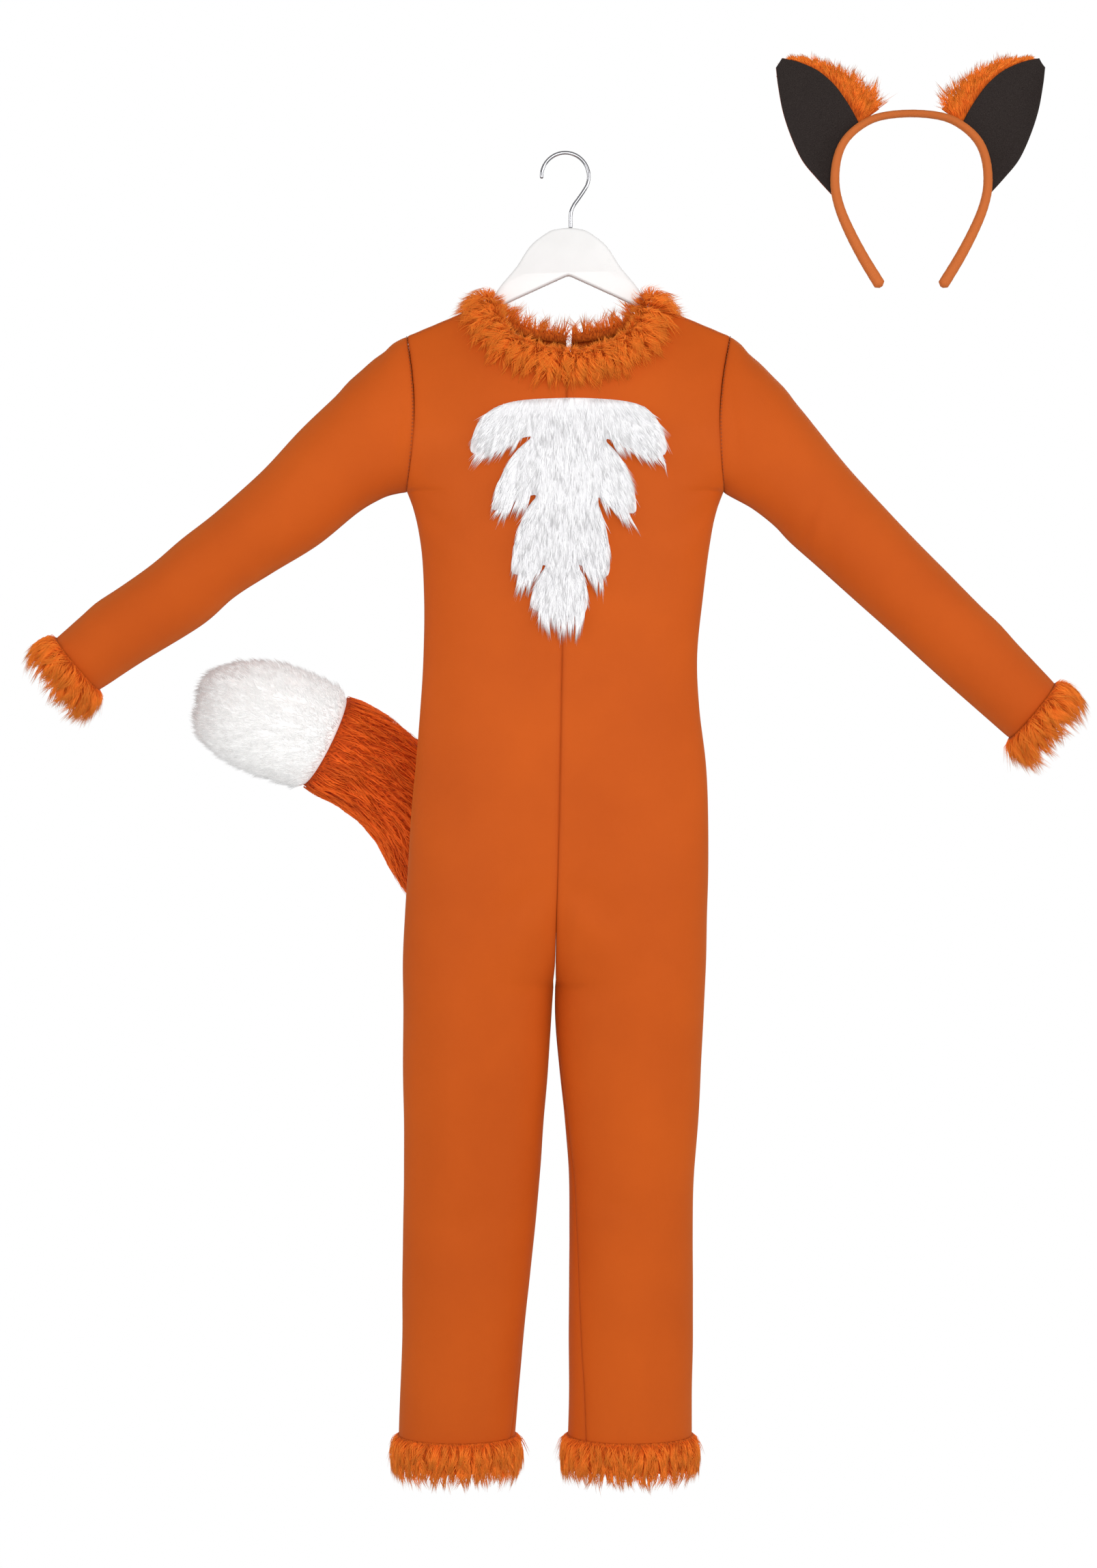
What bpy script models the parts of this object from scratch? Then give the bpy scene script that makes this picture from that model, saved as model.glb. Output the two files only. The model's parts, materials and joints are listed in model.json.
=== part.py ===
"""A child's fox costume on its hanger: a jumpsuit with fur trims and a stuffed tail, and an ear headband.

Run it with: blender --background --python part.py

The front faces -Y, +Z is up, and the origin is where a rail touches the inside of the hanger's hook.
"Right" and "left" are the wearer's, so "right" lies at -X. Tables and sizes are in millimetres, and
a height is given as a drop, the distance below the origin. Each cloth piece is a wall lofted through
sections, with its inner face set in along the surface's own normals, so that pieces meet at the seams.
"""

import math

import bmesh
import bpy
import numpy as np
from mathutils import Matrix, Vector, geometry

MM = 0.001
RIGHT, LEFT = -1, 1
FRONT, BACK = -1, 1

# Cloth
WALL = 1.8
SEAM_GAP = 0.4
TORSO_ROUNDNESS = 2.3
LEG_ROUNDNESS = 2.1

# Shoulders: two straight slopes that lie on the hanger's arms
SHOULDER_X = 3.0
NECK_HALF = 79.0
NECK_DROP = 138.0
TIP_HALF = 149.0
SHOULDER_SLOPE = 0.421
RIDGE_RADIUS = 9.5
RIDGE_FADE = 60.0
YOKE_HEIGHT = 148.0
YOKE_POWER = 1.6
FRONT_NECK_DEPTH = 60.0
BACK_NECK_DEPTH = 34.0

# Armholes
ARMPIT_DROP = 312.0
ARMPIT_X = 146.0
ARMHOLE_BOW = 8.0
ARMHOLE_OPENING = 60.0
ARMHOLE_SHARE = 0.85

# Crotch: the middle seams leave the torso at the rise and meet at the crotch
RISE_DROP = 600.0
CROTCH_DROP = 768.0
HEM_DROP = 1182.0

BODY_COLUMNS = ("drop", "right_edge", "left_edge", "front", "back")
BODY = (
    (312, -146, 146, 50, 48),
    (322, -142, 142, 50.5, 48.5),
    (336, -138, 138, 51, 49),
    (360, -133.5, 133.5, 51, 49),
    (411, -130.5, 127, 50, 48),
    (461, -131, 122, 49, 47),
    (512, -134, 124, 51, 50),
    (562, -138, 130, 54, 55),
    (612, -142.5, 132, 56, 60),
    (663, -145.5, 132, 57, 62),
    (700, -148, 131, 56, 60),
    (745, -150, 130, 54, 56),
    (789, -149.5, 128, 52, 52),
    (839, -150, 125.5, 50, 50),
    (890, -149, 123, 48, 48),
    (940, -149, 119, 46.5, 46.5),
    (1041, -150.5, 118, 45, 45),
    (1091, -150.5, 118, 44.5, 44.5),
    (1142, -152.5, 117, 45, 45),
    (1190, -154, 117, 45, 45),
)

# The seams in the middle: one line down to the rise, then each leg's inner edge. A turn brings the
# inseam round towards the front, in radians.
MIDDLE_COLUMNS = ("drop", "right_inner", "left_inner", "right_turn", "left_turn")
MIDDLE = (
    (100, 3, 3, 0, 0),
    (190, 3, 3, 0, 0),
    (240, 0.5, 0.5, 0, 0),
    (312, 0, 0, 0, 0),
    (461, -3, -3, 0, 0),
    (641, -6.5, -6.5, 0, 0),
    (700, -8.2, -8.0, 0, 0),
    (745, -9.5, -9, 0, 0),
    (768, -10.6, -9.7, 0, 0),
    (789, -12.1, -9.7, 0, 0.05),
    (812, -13.6, -8.4, 0, 0.1),
    (839, -15.2, -5.8, 0, 0.14),
    (890, -19.5, -0.6, 0, 0.26),
    (940, -23, 3.2, 0, 0.38),
    (990, -27.6, 3.7, 0, 0.48),
    (1041, -33, 3.5, 0, 0.56),
    (1091, -38.5, 3, 0.08, 0.64),
    (1142, -43, 3.5, 0.25, 0.72),
    (1190, -47, 2, 0.42, 0.8),
)

# Each sleeve's sections from the armhole to the cuff: the top and bottom point seen from the front,
# and half the depth.
SLEEVE_COLUMNS = ("top_x", "top_drop", "low_x", "low_drop", "half_depth")
SLEEVES = {
    RIGHT: (
        (-146, 167.5, -146, 312, 34),
        (-172, 183, -157, 313, 36),
        (-209.5, 221, -171, 318, 38),
        (-247, 257, -191, 330, 38.5),
        (-281.5, 294, -228, 360, 38),
        (-321.5, 329.5, -270.5, 386, 36),
        (-354, 355, -305, 408, 34.5),
        (-384.5, 380.5, -335.5, 434, 34),
        (-435.5, 417, -393, 469.5, 32),
        (-471, 447.5, -432, 495, 29.5),
    ),
    LEFT: (
        (152, 167.5, 146, 312, 34),
        (174, 185, 157, 318, 36),
        (211.5, 228, 173.5, 327, 38),
        (234, 256, 193, 342.5, 38.5),
        (262, 290, 208.5, 358.5, 38),
        (290.5, 321.5, 235.5, 382.5, 37),
        (325, 358, 273, 416, 36),
        (359.5, 392.5, 309.5, 448.5, 35),
        (404, 438, 354.5, 489.5, 33),
        (453, 489.5, 412, 540, 30),
    ),
}

# Fur bands: closed profiles, as distance past the cloth's end and distance out from its face
CUFF_PROFILE = ((-4, 0.8), (-3, 5), (9, 7.5), (21, 7.5), (29, 4), (24, 0), (0.6, -1.8), (0.6, 0.8))
ANKLE_PROFILE = ((-3, 0.8), (-2, 5), (12, 7), (29, 7), (39.5, 5), (34, 0.5), (0.6, -1.8), (0.6, 0.8))
CUFF_DROOP = 6.0
TIP_POINT = 4
CUFF_LOCKS, ANKLE_LOCKS, NECK_LOCKS = 16, 20, 30
LOCK_REACH = 7.0

# The neck's fur: distance outwards over the cloth and height above it, round the band
NECK_PROFILE = ((22, 1.2), (18, 8), (8, 14), (-3, 16), (-12, 12), (-15, 3), (-10, -6), (-2.2, -6), (-2.2, 1.2))
NECK_BACK_GAP = 3.5

# The chest patch's outline of feathered tiers, as x and drop, from the top middle round to it again
PATCH_OUTLINE = (
    (-0.5, 231), (-33.5, 231), (-63, 232), (-75, 242), (-81.5, 254.5), (-87, 274), (-88, 295.5),
    (-69, 290), (-50.5, 268.5), (-30.5, 267), (-46.5, 283), (-57.5, 300.5), (-65, 321), (-69, 343),
    (-52.5, 332), (-39.5, 321), (-26.5, 316.5), (-38, 333.5), (-45.5, 355), (-50, 375), (-48.5, 390),
    (-36, 402.5), (-23.5, 379), (-30.5, 405.5), (-32.5, 421), (-16.5, 440), (-5, 461.5), (4.5, 440),
    (14, 445.5), (19.5, 422), (19.5, 406.5), (12.5, 386), (22, 395), (33, 409.5), (40, 394.5),
    (39, 364.5), (35, 343), (26, 321), (40, 330), (47, 339), (64.5, 340), (63.5, 321), (57.5, 302.5),
    (47, 283), (33, 267.5), (49.5, 279), (70.5, 293.5), (92, 280), (87.5, 257.5), (72.5, 240),
    (58.5, 232), (31, 231),
)  # fmt: skip
PATCH_THICKNESS, PATCH_EDGE_THICKNESS, PATCH_SPACING, PATCH_LIFT = 9.0, 5.0, 12.0, 1.0

# The zip down the middle of the back
ZIP_TOP, ZIP_END = 196.0, 536.0
ZIP_HALF = 3.6
ZIP_SLIDER_DROP = 236.0
SLIDER_SIZE = (9.0, 4.0, 13.0)
BAIL_RADIUS, BAIL_HALF, BAIL_GAP = 0.6, 2.8, 2.6
PULL_LENGTH, PULL_HALF, PULL_THICK = 23.0, 3.0, 1.4
PULL_BAR, PULL_HOLE_HALF, PULL_HOLE_LENGTH = 1.4, 1.5, 5.2

# The tail's middle line, from the root to the tip
TAIL_COLUMNS = ("x", "y", "drop", "radius")
TAIL = (
    (-7, 62.2, 640, 15),
    (-13, 84, 647, 19),
    (-40, 104, 672, 27),
    (-80, 110, 688, 38),
    (-117, 104, 657, 46),
    (-148, 94, 600, 50),
    (-189, 79, 561, 51.5),
    (-227, 68, 540, 53),
    (-257, 61, 527, 55),
    (-287, 56, 517, 54),
    (-312, 52, 511, 47),
    (-333, 50, 508, 33),
    (-346, 49, 506.5, 16),
)
TAIL_SEAM_ROW = 7
TAIL_TIP_CAP = 4.0

# The hanger: half of its flat outline, as distance from its middle and drop
HANGER_TOP = ((0, 68), (10, 69), (19, 72), (35, 84.5), (48, 104), (61.5, 120), (69, 131))
HANGER_VEE = ((61.5, 139.5), (0, 111.5))
HANGER_ARM_END, HANGER_ARM_THICKNESS, HANGER_THICKNESS = 138.0, 13.0, 10.0
HANGER_BEVEL = 3.0
HANGER_CLEARANCE = 2.2
HOOK_WIRE, HOOK_RADIUS = 1.8, 21.8
HOOK_ARC = (-38, 188)
SHANK_X = 5.0

# The ear headband
BAND_MIDDLE_X = 319.5
BAND_COLUMNS = ("away", "drop")
BAND = (
    (28, 122),
    (45, 94),
    (58, 69),
    (66.5, 48),
    (70.5, 28),
    (69, 6),
    (62, -12),
    (48, -26),
    (29, -35),
    (0, -38),
)
BAND_WIDTH = 10.0
BAND_TOP_THICKNESS, BAND_FOOT_THICKNESS = 6.5, 10.5

# An ear, from its base on the band to its tip: the inner and the outer edge
EAR_COLUMNS = ("inner_away", "inner_drop", "outer_away", "outer_drop")
EAR = (
    (47.5, -30, 73, 35.5),
    (54.5, -43, 87, 20),
    (62.5, -55.5, 100, 4),
    (72.5, -68, 110, -17),
    (86.5, -79.5, 118, -41),
    (103.5, -87, 122.5, -65),
    (119, -90.5, 124.5, -82),
)
EAR_BASE_BOW = 6.0
EAR_CUP = 7.0
EAR_FRONT_THICKNESS, EAR_BACK_THICKNESS = 1.5, 6.0
EAR_FUR_REACH = 24.0
# The black inside and the fur behind it touch at their hills only.
EAR_PLY_GAP = 0.8

MATERIALS = {
    "copper_knit": ((0.60, 0.13, 0.014), 0.55, 0.0),
    "rust_fur": ((0.62, 0.12, 0.015), 0.85, 0.0),
    "tail_fur": ((0.45, 0.06, 0.008), 0.8, 0.0),
    "white_fur": ((0.88, 0.87, 0.86), 0.85, 0.0),
    "black_felt": ((0.022, 0.016, 0.014), 0.9, 0.0),
    "white_lacquer": ((0.86, 0.85, 0.84), 0.35, 0.0),
    "chrome": ((0.75, 0.75, 0.77), 0.12, 1.0),
    "zip_coil": ((0.36, 0.08, 0.015), 0.5, 0.0),
}


def table(columns, rows):
    """A table as a dictionary of arrays, one for each named column."""
    return dict(zip(columns, np.array(rows, float).T))


BODY_TABLE = table(BODY_COLUMNS, BODY)
MIDDLE_TABLE = table(MIDDLE_COLUMNS, MIDDLE)


def smooth(at, knots, values):
    """A smooth curve through the knots, with the slope of the chord across each knot."""
    at = np.clip(np.asarray(at, float), knots[0], knots[-1])
    slopes = np.gradient(values, knots)
    i = np.clip(np.searchsorted(knots, at) - 1, 0, len(knots) - 2)
    span = knots[i + 1] - knots[i]
    t = (at - knots[i]) / span
    return (
        (1 + 2 * t) * (1 - t) ** 2 * values[i]
        + t * (1 - t) ** 2 * span * slopes[i]
        + t * t * (3 - 2 * t) * values[i + 1]
        + t * t * (t - 1) * span * slopes[i + 1]
    )


def unit(vectors):
    """The vectors at length one."""
    return vectors / np.maximum(np.linalg.norm(vectors, axis=-1, keepdims=True), 1e-12)


def signed_power(value, power):
    return np.sign(value) * np.abs(value) ** power


def side_name(side):
    return "right" if side == RIGHT else "left"


def stand(x, y, drop):
    """Points from x, y and drop."""
    return np.stack(np.broadcast_arrays(x, y, -np.asarray(drop, float)), axis=-1)


# The body's surface


def body(drop, name):
    return smooth(drop, BODY_TABLE["drop"], BODY_TABLE[name])


def middle(drop, name):
    return smooth(drop, MIDDLE_TABLE["drop"], MIDDLE_TABLE[name])


def section(angle, drop, side):
    """A point of the torso or leg. The angle is 0 at the inside, a quarter turn at the front and
    half a turn at the side seam. Below the rise the two halves part like two tubes that overlap
    less and less, until they only touch at the crotch."""
    parted = np.clip((drop - RISE_DROP) / (CROTCH_DROP - RISE_DROP), 0, 1) ** 1.5
    roundness = TORSO_ROUNDNESS + (LEG_ROUNDNESS - TORSO_ROUNDNESS) * parted
    inner = middle(drop, side_name(side) + "_inner")
    half = np.abs(body(drop, side_name(side) + "_edge") - inner) / (1 + parted)
    depth = np.where(np.sin(angle) >= 0, body(drop, "front"), body(drop, "back"))
    x = inner + side * half * (parted - signed_power(np.cos(angle), 2 / roundness))
    y = -depth * signed_power(np.sin(angle), 2 / roundness)
    return stand(x, y, drop)


def inner_angle(drop):
    """The section's angle at the middle seam: a quarter turn in the torso, none in a leg."""
    parted = np.clip((drop - RISE_DROP) / (CROTCH_DROP - RISE_DROP), 0, 1) ** 1.5
    roundness = TORSO_ROUNDNESS + (LEG_ROUNDNESS - TORSO_ROUNDNESS) * parted
    return np.arccos(parted ** (roundness / 2))


def shoulder_drop(x):
    return NECK_DROP + SHOULDER_SLOPE * (np.abs(x - SHOULDER_X) - NECK_HALF)


def armhole_point(up, side):
    """The armhole seam seen from the front: x and drop, from the armpit (0) to the shoulder tip (1)."""
    tip_x = SHOULDER_X + side * TIP_HALF
    drop = ARMPIT_DROP + up * (shoulder_drop(tip_x) - ARMPIT_DROP)
    x = side * ARMPIT_X + up * (tip_x - side * ARMPIT_X)
    return x - side * ARMHOLE_BOW * np.sin(np.pi * up), drop


def armhole_x(drop, side):
    tip_drop = shoulder_drop(SHOULDER_X + side * TIP_HALF)
    return armhole_point(np.clip((ARMPIT_DROP - drop) / (ARMPIT_DROP - tip_drop), 0, 1), side)[0]


def yoke_depth(x, drop, face):
    """How far the cloth above the armpit stands from the middle plane. It rises from a rounded
    ridge on the shoulder line to the chest's depth, and opens into the armhole at the sides."""
    side = np.where(x < middle(drop, "right_inner"), RIGHT, LEFT)
    below = np.maximum(drop - shoulder_drop(x), 0)
    depth = BODY_TABLE["front" if face == FRONT else "back"][0]
    rise = (1 - (1 - np.minimum(below / YOKE_HEIGHT, 1)) ** YOKE_POWER) ** (1 / YOKE_POWER)
    opened = np.clip((ARMPIT_DROP - drop) / ARMHOLE_OPENING, 0, 1)
    edge = np.where(side == RIGHT, armhole_x(drop, RIGHT), armhole_x(drop, LEFT))
    out = np.clip(np.abs((x - middle(drop, "right_inner")) / (edge - middle(drop, "right_inner"))), 0, 1)
    round_part = out**6
    opened = opened**2 * (3 - 2 * opened) * (1 - round_part) + np.sqrt(1 - (1 - opened) ** 2) * round_part
    closed_form = (1 - out**TORSO_ROUNDNESS) ** (1 / TORSO_ROUNDNESS)
    open_form = 1 - (1 - ARMHOLE_SHARE) * out**2
    chest = depth * rise * ((1 - opened) * closed_form + opened * open_form)
    ridge = RIDGE_RADIUS * np.sqrt(1 - (1 - np.minimum(below / RIDGE_RADIUS, 1)) ** 2)
    ridge = ridge * np.clip(1 - below / RIDGE_FADE, 0, 1)
    return (chest**3 + ridge**3) ** (1 / 3)


def torso_y(x, drop, face):
    """The y of the front or back at a point seen from the front, anywhere above the rise."""
    centre = middle(drop, "right_inner")
    edge = np.where(x < centre, body(drop, "right_edge"), body(drop, "left_edge"))
    out = np.clip(np.abs((x - centre) / (edge - centre)), 0, 1)
    depth = body(drop, "front" if face == FRONT else "back")
    low = depth * (1 - out**TORSO_ROUNDNESS) ** (1 / TORSO_ROUNDNESS)
    return face * np.where(drop > ARMPIT_DROP, low, yoke_depth(x, drop, face))


def torso_normal(x, drop, face, step=0.5):
    """The outward normal there, from small steps to each side."""
    across = (torso_y(x + step, drop, face) - torso_y(x - step, drop, face)) / (2 * step)
    down = (torso_y(x, drop + step, face) - torso_y(x, drop - step, face)) / (2 * step)
    return unit(np.stack([-face * across, np.full_like(across, face), face * down], axis=-1))


def neck_point(turn, face, side):
    """The neck seam seen from the front: from the middle (0) to the shoulder (a quarter turn)."""
    depth = FRONT_NECK_DEPTH if face == FRONT else BACK_NECK_DEPTH
    x = SHOULDER_X + side * NECK_HALF * np.sin(turn)
    slope_part = SHOULDER_SLOPE * NECK_HALF * (np.sin(turn) - 1)
    return x, NECK_DROP + depth * np.cos(turn) + 0 * slope_part


# Making solids


def material(name):
    found = bpy.data.materials.get(name)
    if found:
        return found
    colour, roughness, metallic = MATERIALS[name]
    made = bpy.data.materials.new(name)
    made.use_nodes = True
    shader = made.node_tree.nodes["Principled BSDF"]
    shader.inputs["Base Color"].default_value = (*colour, 1)
    shader.inputs["Roughness"].default_value = roughness
    shader.inputs["Metallic"].default_value = metallic
    made.diffuse_color = (*colour, 1)
    return made


def clear_scene():
    for obj in list(bpy.data.objects):
        bpy.data.objects.remove(obj)


def collection(name):
    found = bpy.data.collections.get(name)
    if not found:
        found = bpy.data.collections.new(name)
        bpy.context.scene.collection.children.link(found)
    return found


def add_object(name, data, material_name):
    obj = bpy.data.objects.new(name, data)
    if material_name:
        data.materials.append(material(material_name))
    collection("fox_costume").objects.link(obj)
    return obj


def solid(name, points, faces, material_name):
    """A closed mesh from points in millimetres, with its faces turned outwards."""
    mesh = bpy.data.meshes.new(name)
    mesh.from_pydata((np.asarray(points) * MM).tolist(), [], faces)
    work = bmesh.new()
    work.from_mesh(mesh)
    bmesh.ops.recalc_face_normals(work, faces=work.faces)
    work.to_mesh(mesh)
    work.free()
    mesh.shade_smooth()
    mesh.set_sharp_from_angle(angle=math.radians(50))
    return add_object(name, mesh, material_name)


def strip_faces(first, second, closed=False):
    """Quads between two rows of point numbers."""
    count = len(first)
    ends = range(count if closed else count - 1)
    return [(first[i], first[(i + 1) % count], second[(i + 1) % count], second[i]) for i in ends]


def wall(name, outer, inner, material_name, tube=False):
    """A wall between two grids of points. A tube's rows close round on themselves."""
    rows, columns = outer.shape[:2]
    numbers = np.arange(rows * columns).reshape(rows, columns)
    lower = numbers + rows * columns
    faces = []
    for i in range(rows - 1):
        faces += strip_faces(numbers[i], numbers[i + 1], tube)
        faces += strip_faces(lower[i + 1], lower[i], tube)
    faces += strip_faces(lower[0], numbers[0], tube)
    faces += strip_faces(numbers[-1], lower[-1], tube)
    if not tube:
        faces += strip_faces(numbers[:, 0], lower[:, 0])
        faces += strip_faces(lower[:, -1], numbers[:, -1])
    points = np.concatenate([outer.reshape(-1, 3), inner.reshape(-1, 3)])
    return solid(name, points, [tuple(int(n) for n in f) for f in faces], material_name)


def ring_solid(name, rings, material_name, closed_path=True):
    """A solid whose cross-section rings follow one another, round a closed path or capped."""
    count, around = rings.shape[:2]
    numbers = np.arange(count * around).reshape(count, around)
    faces = []
    for i in range(count if closed_path else count - 1):
        faces += strip_faces(numbers[i], numbers[(i + 1) % count], closed=True)
    if not closed_path:
        faces += [tuple(numbers[0][::-1]), tuple(numbers[-1])]
    return solid(name, rings.reshape(-1, 3), [tuple(int(n) for n in f) for f in faces], material_name)


def pull_in(outer, inner, first_column=0.0, last_column=0.0, last_row=0.0):
    """Moves a wall's borders back from its seams by the given distances, along the wall."""
    for grid in (outer, inner):
        grid[:, 0] += unit(outer[:, 1] - outer[:, 0]) * first_column
        grid[:, -1] += unit(outer[:, -2] - outer[:, -1]) * np.reshape(last_column, (-1, 1))
        grid[-1] += unit(outer[-2] - outer[-1]) * last_row


# The jumpsuit's panels

PANEL_DROPS = (
    1182, 1140, 1090, 1035, 980, 925, 875, 830, 795, 768, 752, 744.5, 736, 722, 700, 670,
    635, 600, 560, 546, 539, 500, 460, 415, 375, 348, 332, 322, 316, 312,
)  # fmt: skip
YOKE_STEPS = (0.04, 0.11, 0.22, 0.36, 0.5, 0.64, 0.7, 0.76, 0.81, 0.86, 0.9, 0.94, 0.97, 0.99, 1.0)
NECK_STEP = {FRONT: 0.64, BACK: 0.76}
PANEL_COLUMNS = 10


def lower_rows(face, side, drops, columns):
    """The panel from the hem to the armpit: points and normals."""
    drop = np.array(drops, float)[:, None]
    turn = middle(drop, side_name(side) + "_turn")
    end = inner_angle(drop)
    end = end + turn if face == FRONT else 2 * np.pi - end + turn
    share = np.linspace(0, 1, columns + 1)[None]
    angle = np.pi + (end - np.pi) * share
    points = section(angle, drop, side)
    around = section(angle + 0.01, drop, side) - section(angle - 0.01, drop, side)
    along = section(angle, drop + 0.5, side) - section(angle, drop - 0.5, side)
    normals = unit(np.cross(around, along)) * -side
    return points, normals


def yoke_rows(face, side, steps, columns):
    """The panel from the armpit to the shoulder: ruled between the armhole and the middle seam,
    which turns into the neck curve, and lifted to the yoke's depth."""
    up = np.array(steps, float)[:, None]
    neck = NECK_STEP[face]
    outer_x, outer_drop = armhole_point(up, side)
    _, neck_low = neck_point(0.0, face, side)
    turn = np.clip((up - neck) / (1 - neck), 0, 1) * np.pi / 2
    neck_x, neck_drop = neck_point(turn, face, side)
    seam_drop = ARMPIT_DROP + (neck_low - ARMPIT_DROP) * np.clip(up / neck, 0, 1)
    inner_x = np.where(up <= neck, middle(seam_drop, "right_inner"), neck_x)
    inner_drop = np.where(up <= neck, seam_drop, neck_drop)
    share = np.abs(np.cos(np.pi / 2 * (2 - np.linspace(0, 1, columns + 1)))) ** (2 / TORSO_ROUNDNESS)
    x = outer_x * share + inner_x * (1 - share)
    drop = outer_drop * share + inner_drop * (1 - share)
    return stand(x, face * yoke_depth(x, drop, face), drop), yoke_normal(x, drop, face)


def yoke_normal(x, drop, face, step=0.4):
    """The outward normal of the yoke. On the shoulder line it stands square to that line."""
    across = (yoke_depth(x + step, drop, face) - yoke_depth(x - step, drop, face)) / (2 * step)
    down = (yoke_depth(x, drop + step, face) - yoke_depth(x, drop - step, face)) / (2 * step)
    normals = unit(np.stack([-across, np.full_like(across, face), down], axis=-1))
    ridge = unit(stand(np.sign(x - SHOULDER_X) * SHOULDER_SLOPE, 0.0, -np.ones_like(x)))
    on_ridge = np.clip(1 - (drop - shoulder_drop(x)) / 1.0, 0, 1)[..., None]
    return unit(normals * (1 - on_ridge) + ridge * on_ridge)


def jumpsuit_panel(face, side):
    """One of the four long panels: shoulder, armhole and side seam outside, neck, middle seam and
    inseam inside."""
    low, low_normals = lower_rows(face, side, PANEL_DROPS, PANEL_COLUMNS)
    high, high_normals = yoke_rows(face, side, YOKE_STEPS, PANEL_COLUMNS)
    outer = np.concatenate([low, high])
    inner = outer - np.concatenate([low_normals, high_normals]) * WALL
    middle_gap = np.full(len(outer), SEAM_GAP / 2)
    if face == BACK:
        in_zip = (-outer[:, -1, 2] < ZIP_END + 4) & (np.arange(len(outer)) < len(outer) - 8)
        middle_gap[in_zip] = ZIP_HALF + SEAM_GAP
    pull_in(outer, inner, SEAM_GAP / 2, middle_gap, SEAM_GAP / 2)
    name = ("front_" if face == FRONT else "back_") + side_name(side)
    wall(name, outer, inner, "copper_knit")


# Sleeves


def sleeve_section(along, side):
    """The sleeve's top point, bottom point and half depth at a share of its length."""
    sections = table(SLEEVE_COLUMNS, SLEEVES[side])
    knots = np.linspace(0, 1, len(sections["top_x"]))
    top_x, top_drop, low_x, low_drop, depth = (
        smooth(along, knots, sections[name]) for name in SLEEVE_COLUMNS
    )
    return stand(top_x, 0.0, top_drop), stand(low_x, 0.0, low_drop), depth


def sleeve_point(angle, along, side):
    """A point of the sleeve. The angle is 0 on top and a quarter turn at the front. The first ring
    is the armhole itself, and it fades into the sleeve's own sections."""
    top, low, depth = sleeve_section(along, side)
    cosine, sine = np.cos(angle)[..., None], np.sin(angle)[..., None]
    away = stand(0.0, -1.0, 0.0)
    tube = (top + low) / 2 + (top - low) / 2 * cosine + away * depth[..., None] * sine
    hole_x, hole_drop = armhole_point((1 + np.cos(angle)) / 2, side)
    front = yoke_depth(hole_x, hole_drop, FRONT)
    back = yoke_depth(hole_x, hole_drop, BACK)
    hole = stand(hole_x, np.where(np.sin(angle) > 0, -front, back), hole_drop)
    fade = (np.clip(1 - along / 0.22, 0, 1) ** 2)[..., None]
    return tube * (1 - fade) + hole * fade


def sleeve_normal(angle, along, side, step=0.004):
    around = sleeve_point(angle + 0.02, along, side) - sleeve_point(angle - 0.02, along, side)
    after = sleeve_point(angle, np.minimum(along + step, 1), side)
    before = sleeve_point(angle, np.maximum(along - step, 0), side)
    normals = unit(np.cross(around, after - before))
    top, low, _ = sleeve_section(along, side)
    outwards = sleeve_point(angle, along, side) - (top + low) / 2
    turn = np.sign(np.sum(normals * outwards, axis=-1, keepdims=True))
    return normals * np.where(turn == 0, 1, turn)


def sleeve(side, around=20):
    along = np.array((0, 0.035, 0.08, 0.14, 0.22, 0.32, 0.43, 0.55, 0.67, 0.79, 0.9, 1.0))[:, None]
    angle = np.linspace(0, 2 * np.pi, around, endpoint=False)[None]
    angle, along = np.broadcast_arrays(angle, along)
    outer = sleeve_point(angle, along, side)
    normals = sleeve_normal(angle, along, side)
    normals[0] = unit(normals[0] * [0, 1, 1])
    inner = outer - normals * WALL
    for grid in (outer, inner):
        grid[0] = grid[0] + [side * SEAM_GAP, 0, 0]
    wall("sleeve_" + side_name(side), outer, inner, "copper_knit", tube=True)


# Fur bands


def fur_band(name, edge, out, along, profile, locks, droop=0.0):
    """A band of fur past a hem. The edge is the hem's ring of points, with the direction out from
    the cloth and the direction along the limb at each. Every second ring of tips reaches further."""
    count = 2 * locks
    index = np.arange(count)
    longer = np.where(index % 2 == 0, 0.5, -0.5)
    wander = 0.5 + 0.5 * np.sin(index * 2.4)
    rings = []
    for number, (past, height) in enumerate(profile):
        reach = longer * LOCK_REACH * (0.6 + 0.8 * wander) if number == TIP_POINT else 0 * longer
        swell = longer * 1.6 if 1 <= number <= 3 else 0 * longer
        hang = [0, 0, droop if number == TIP_POINT else 0]
        rings.append(edge + along * (past + reach)[:, None] + out * (height + swell)[:, None] - hang)
    ring_solid(name, np.stack(rings, axis=1), "rust_fur")


def cuff_band(side):
    count = 2 * CUFF_LOCKS
    angle = np.linspace(0, 2 * np.pi, count, endpoint=False)
    end = np.ones(count)
    edge = sleeve_point(angle, end, side)
    out = sleeve_normal(angle, end, side)
    top, low, _ = sleeve_section(1.0, side)
    along = unit(np.array([-(low - top)[2], 0, (low - top)[0]])) * side
    along = along if along[0] * side > 0 else -along
    out = unit(out - along * np.sum(out * along, axis=-1, keepdims=True))
    fur_band("cuff_fur_" + side_name(side), edge, out, np.tile(along, (count, 1)), CUFF_PROFILE, CUFF_LOCKS, CUFF_DROOP)


def ankle_band(side):
    count = 2 * ANKLE_LOCKS
    angle = np.linspace(0, 2 * np.pi, count, endpoint=False)
    edge = section(angle, np.full(count, HEM_DROP), side)
    around = section(angle + 0.01, np.full(count, HEM_DROP), side) - edge
    down = stand(0.0, 0.0, 1.0)
    out = unit(np.cross(around, np.tile(down, (count, 1)))) * -side
    fur_band("ankle_fur_" + side_name(side), edge, out, np.tile(down, (count, 1)), ANKLE_PROFILE, ANKLE_LOCKS)


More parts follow.
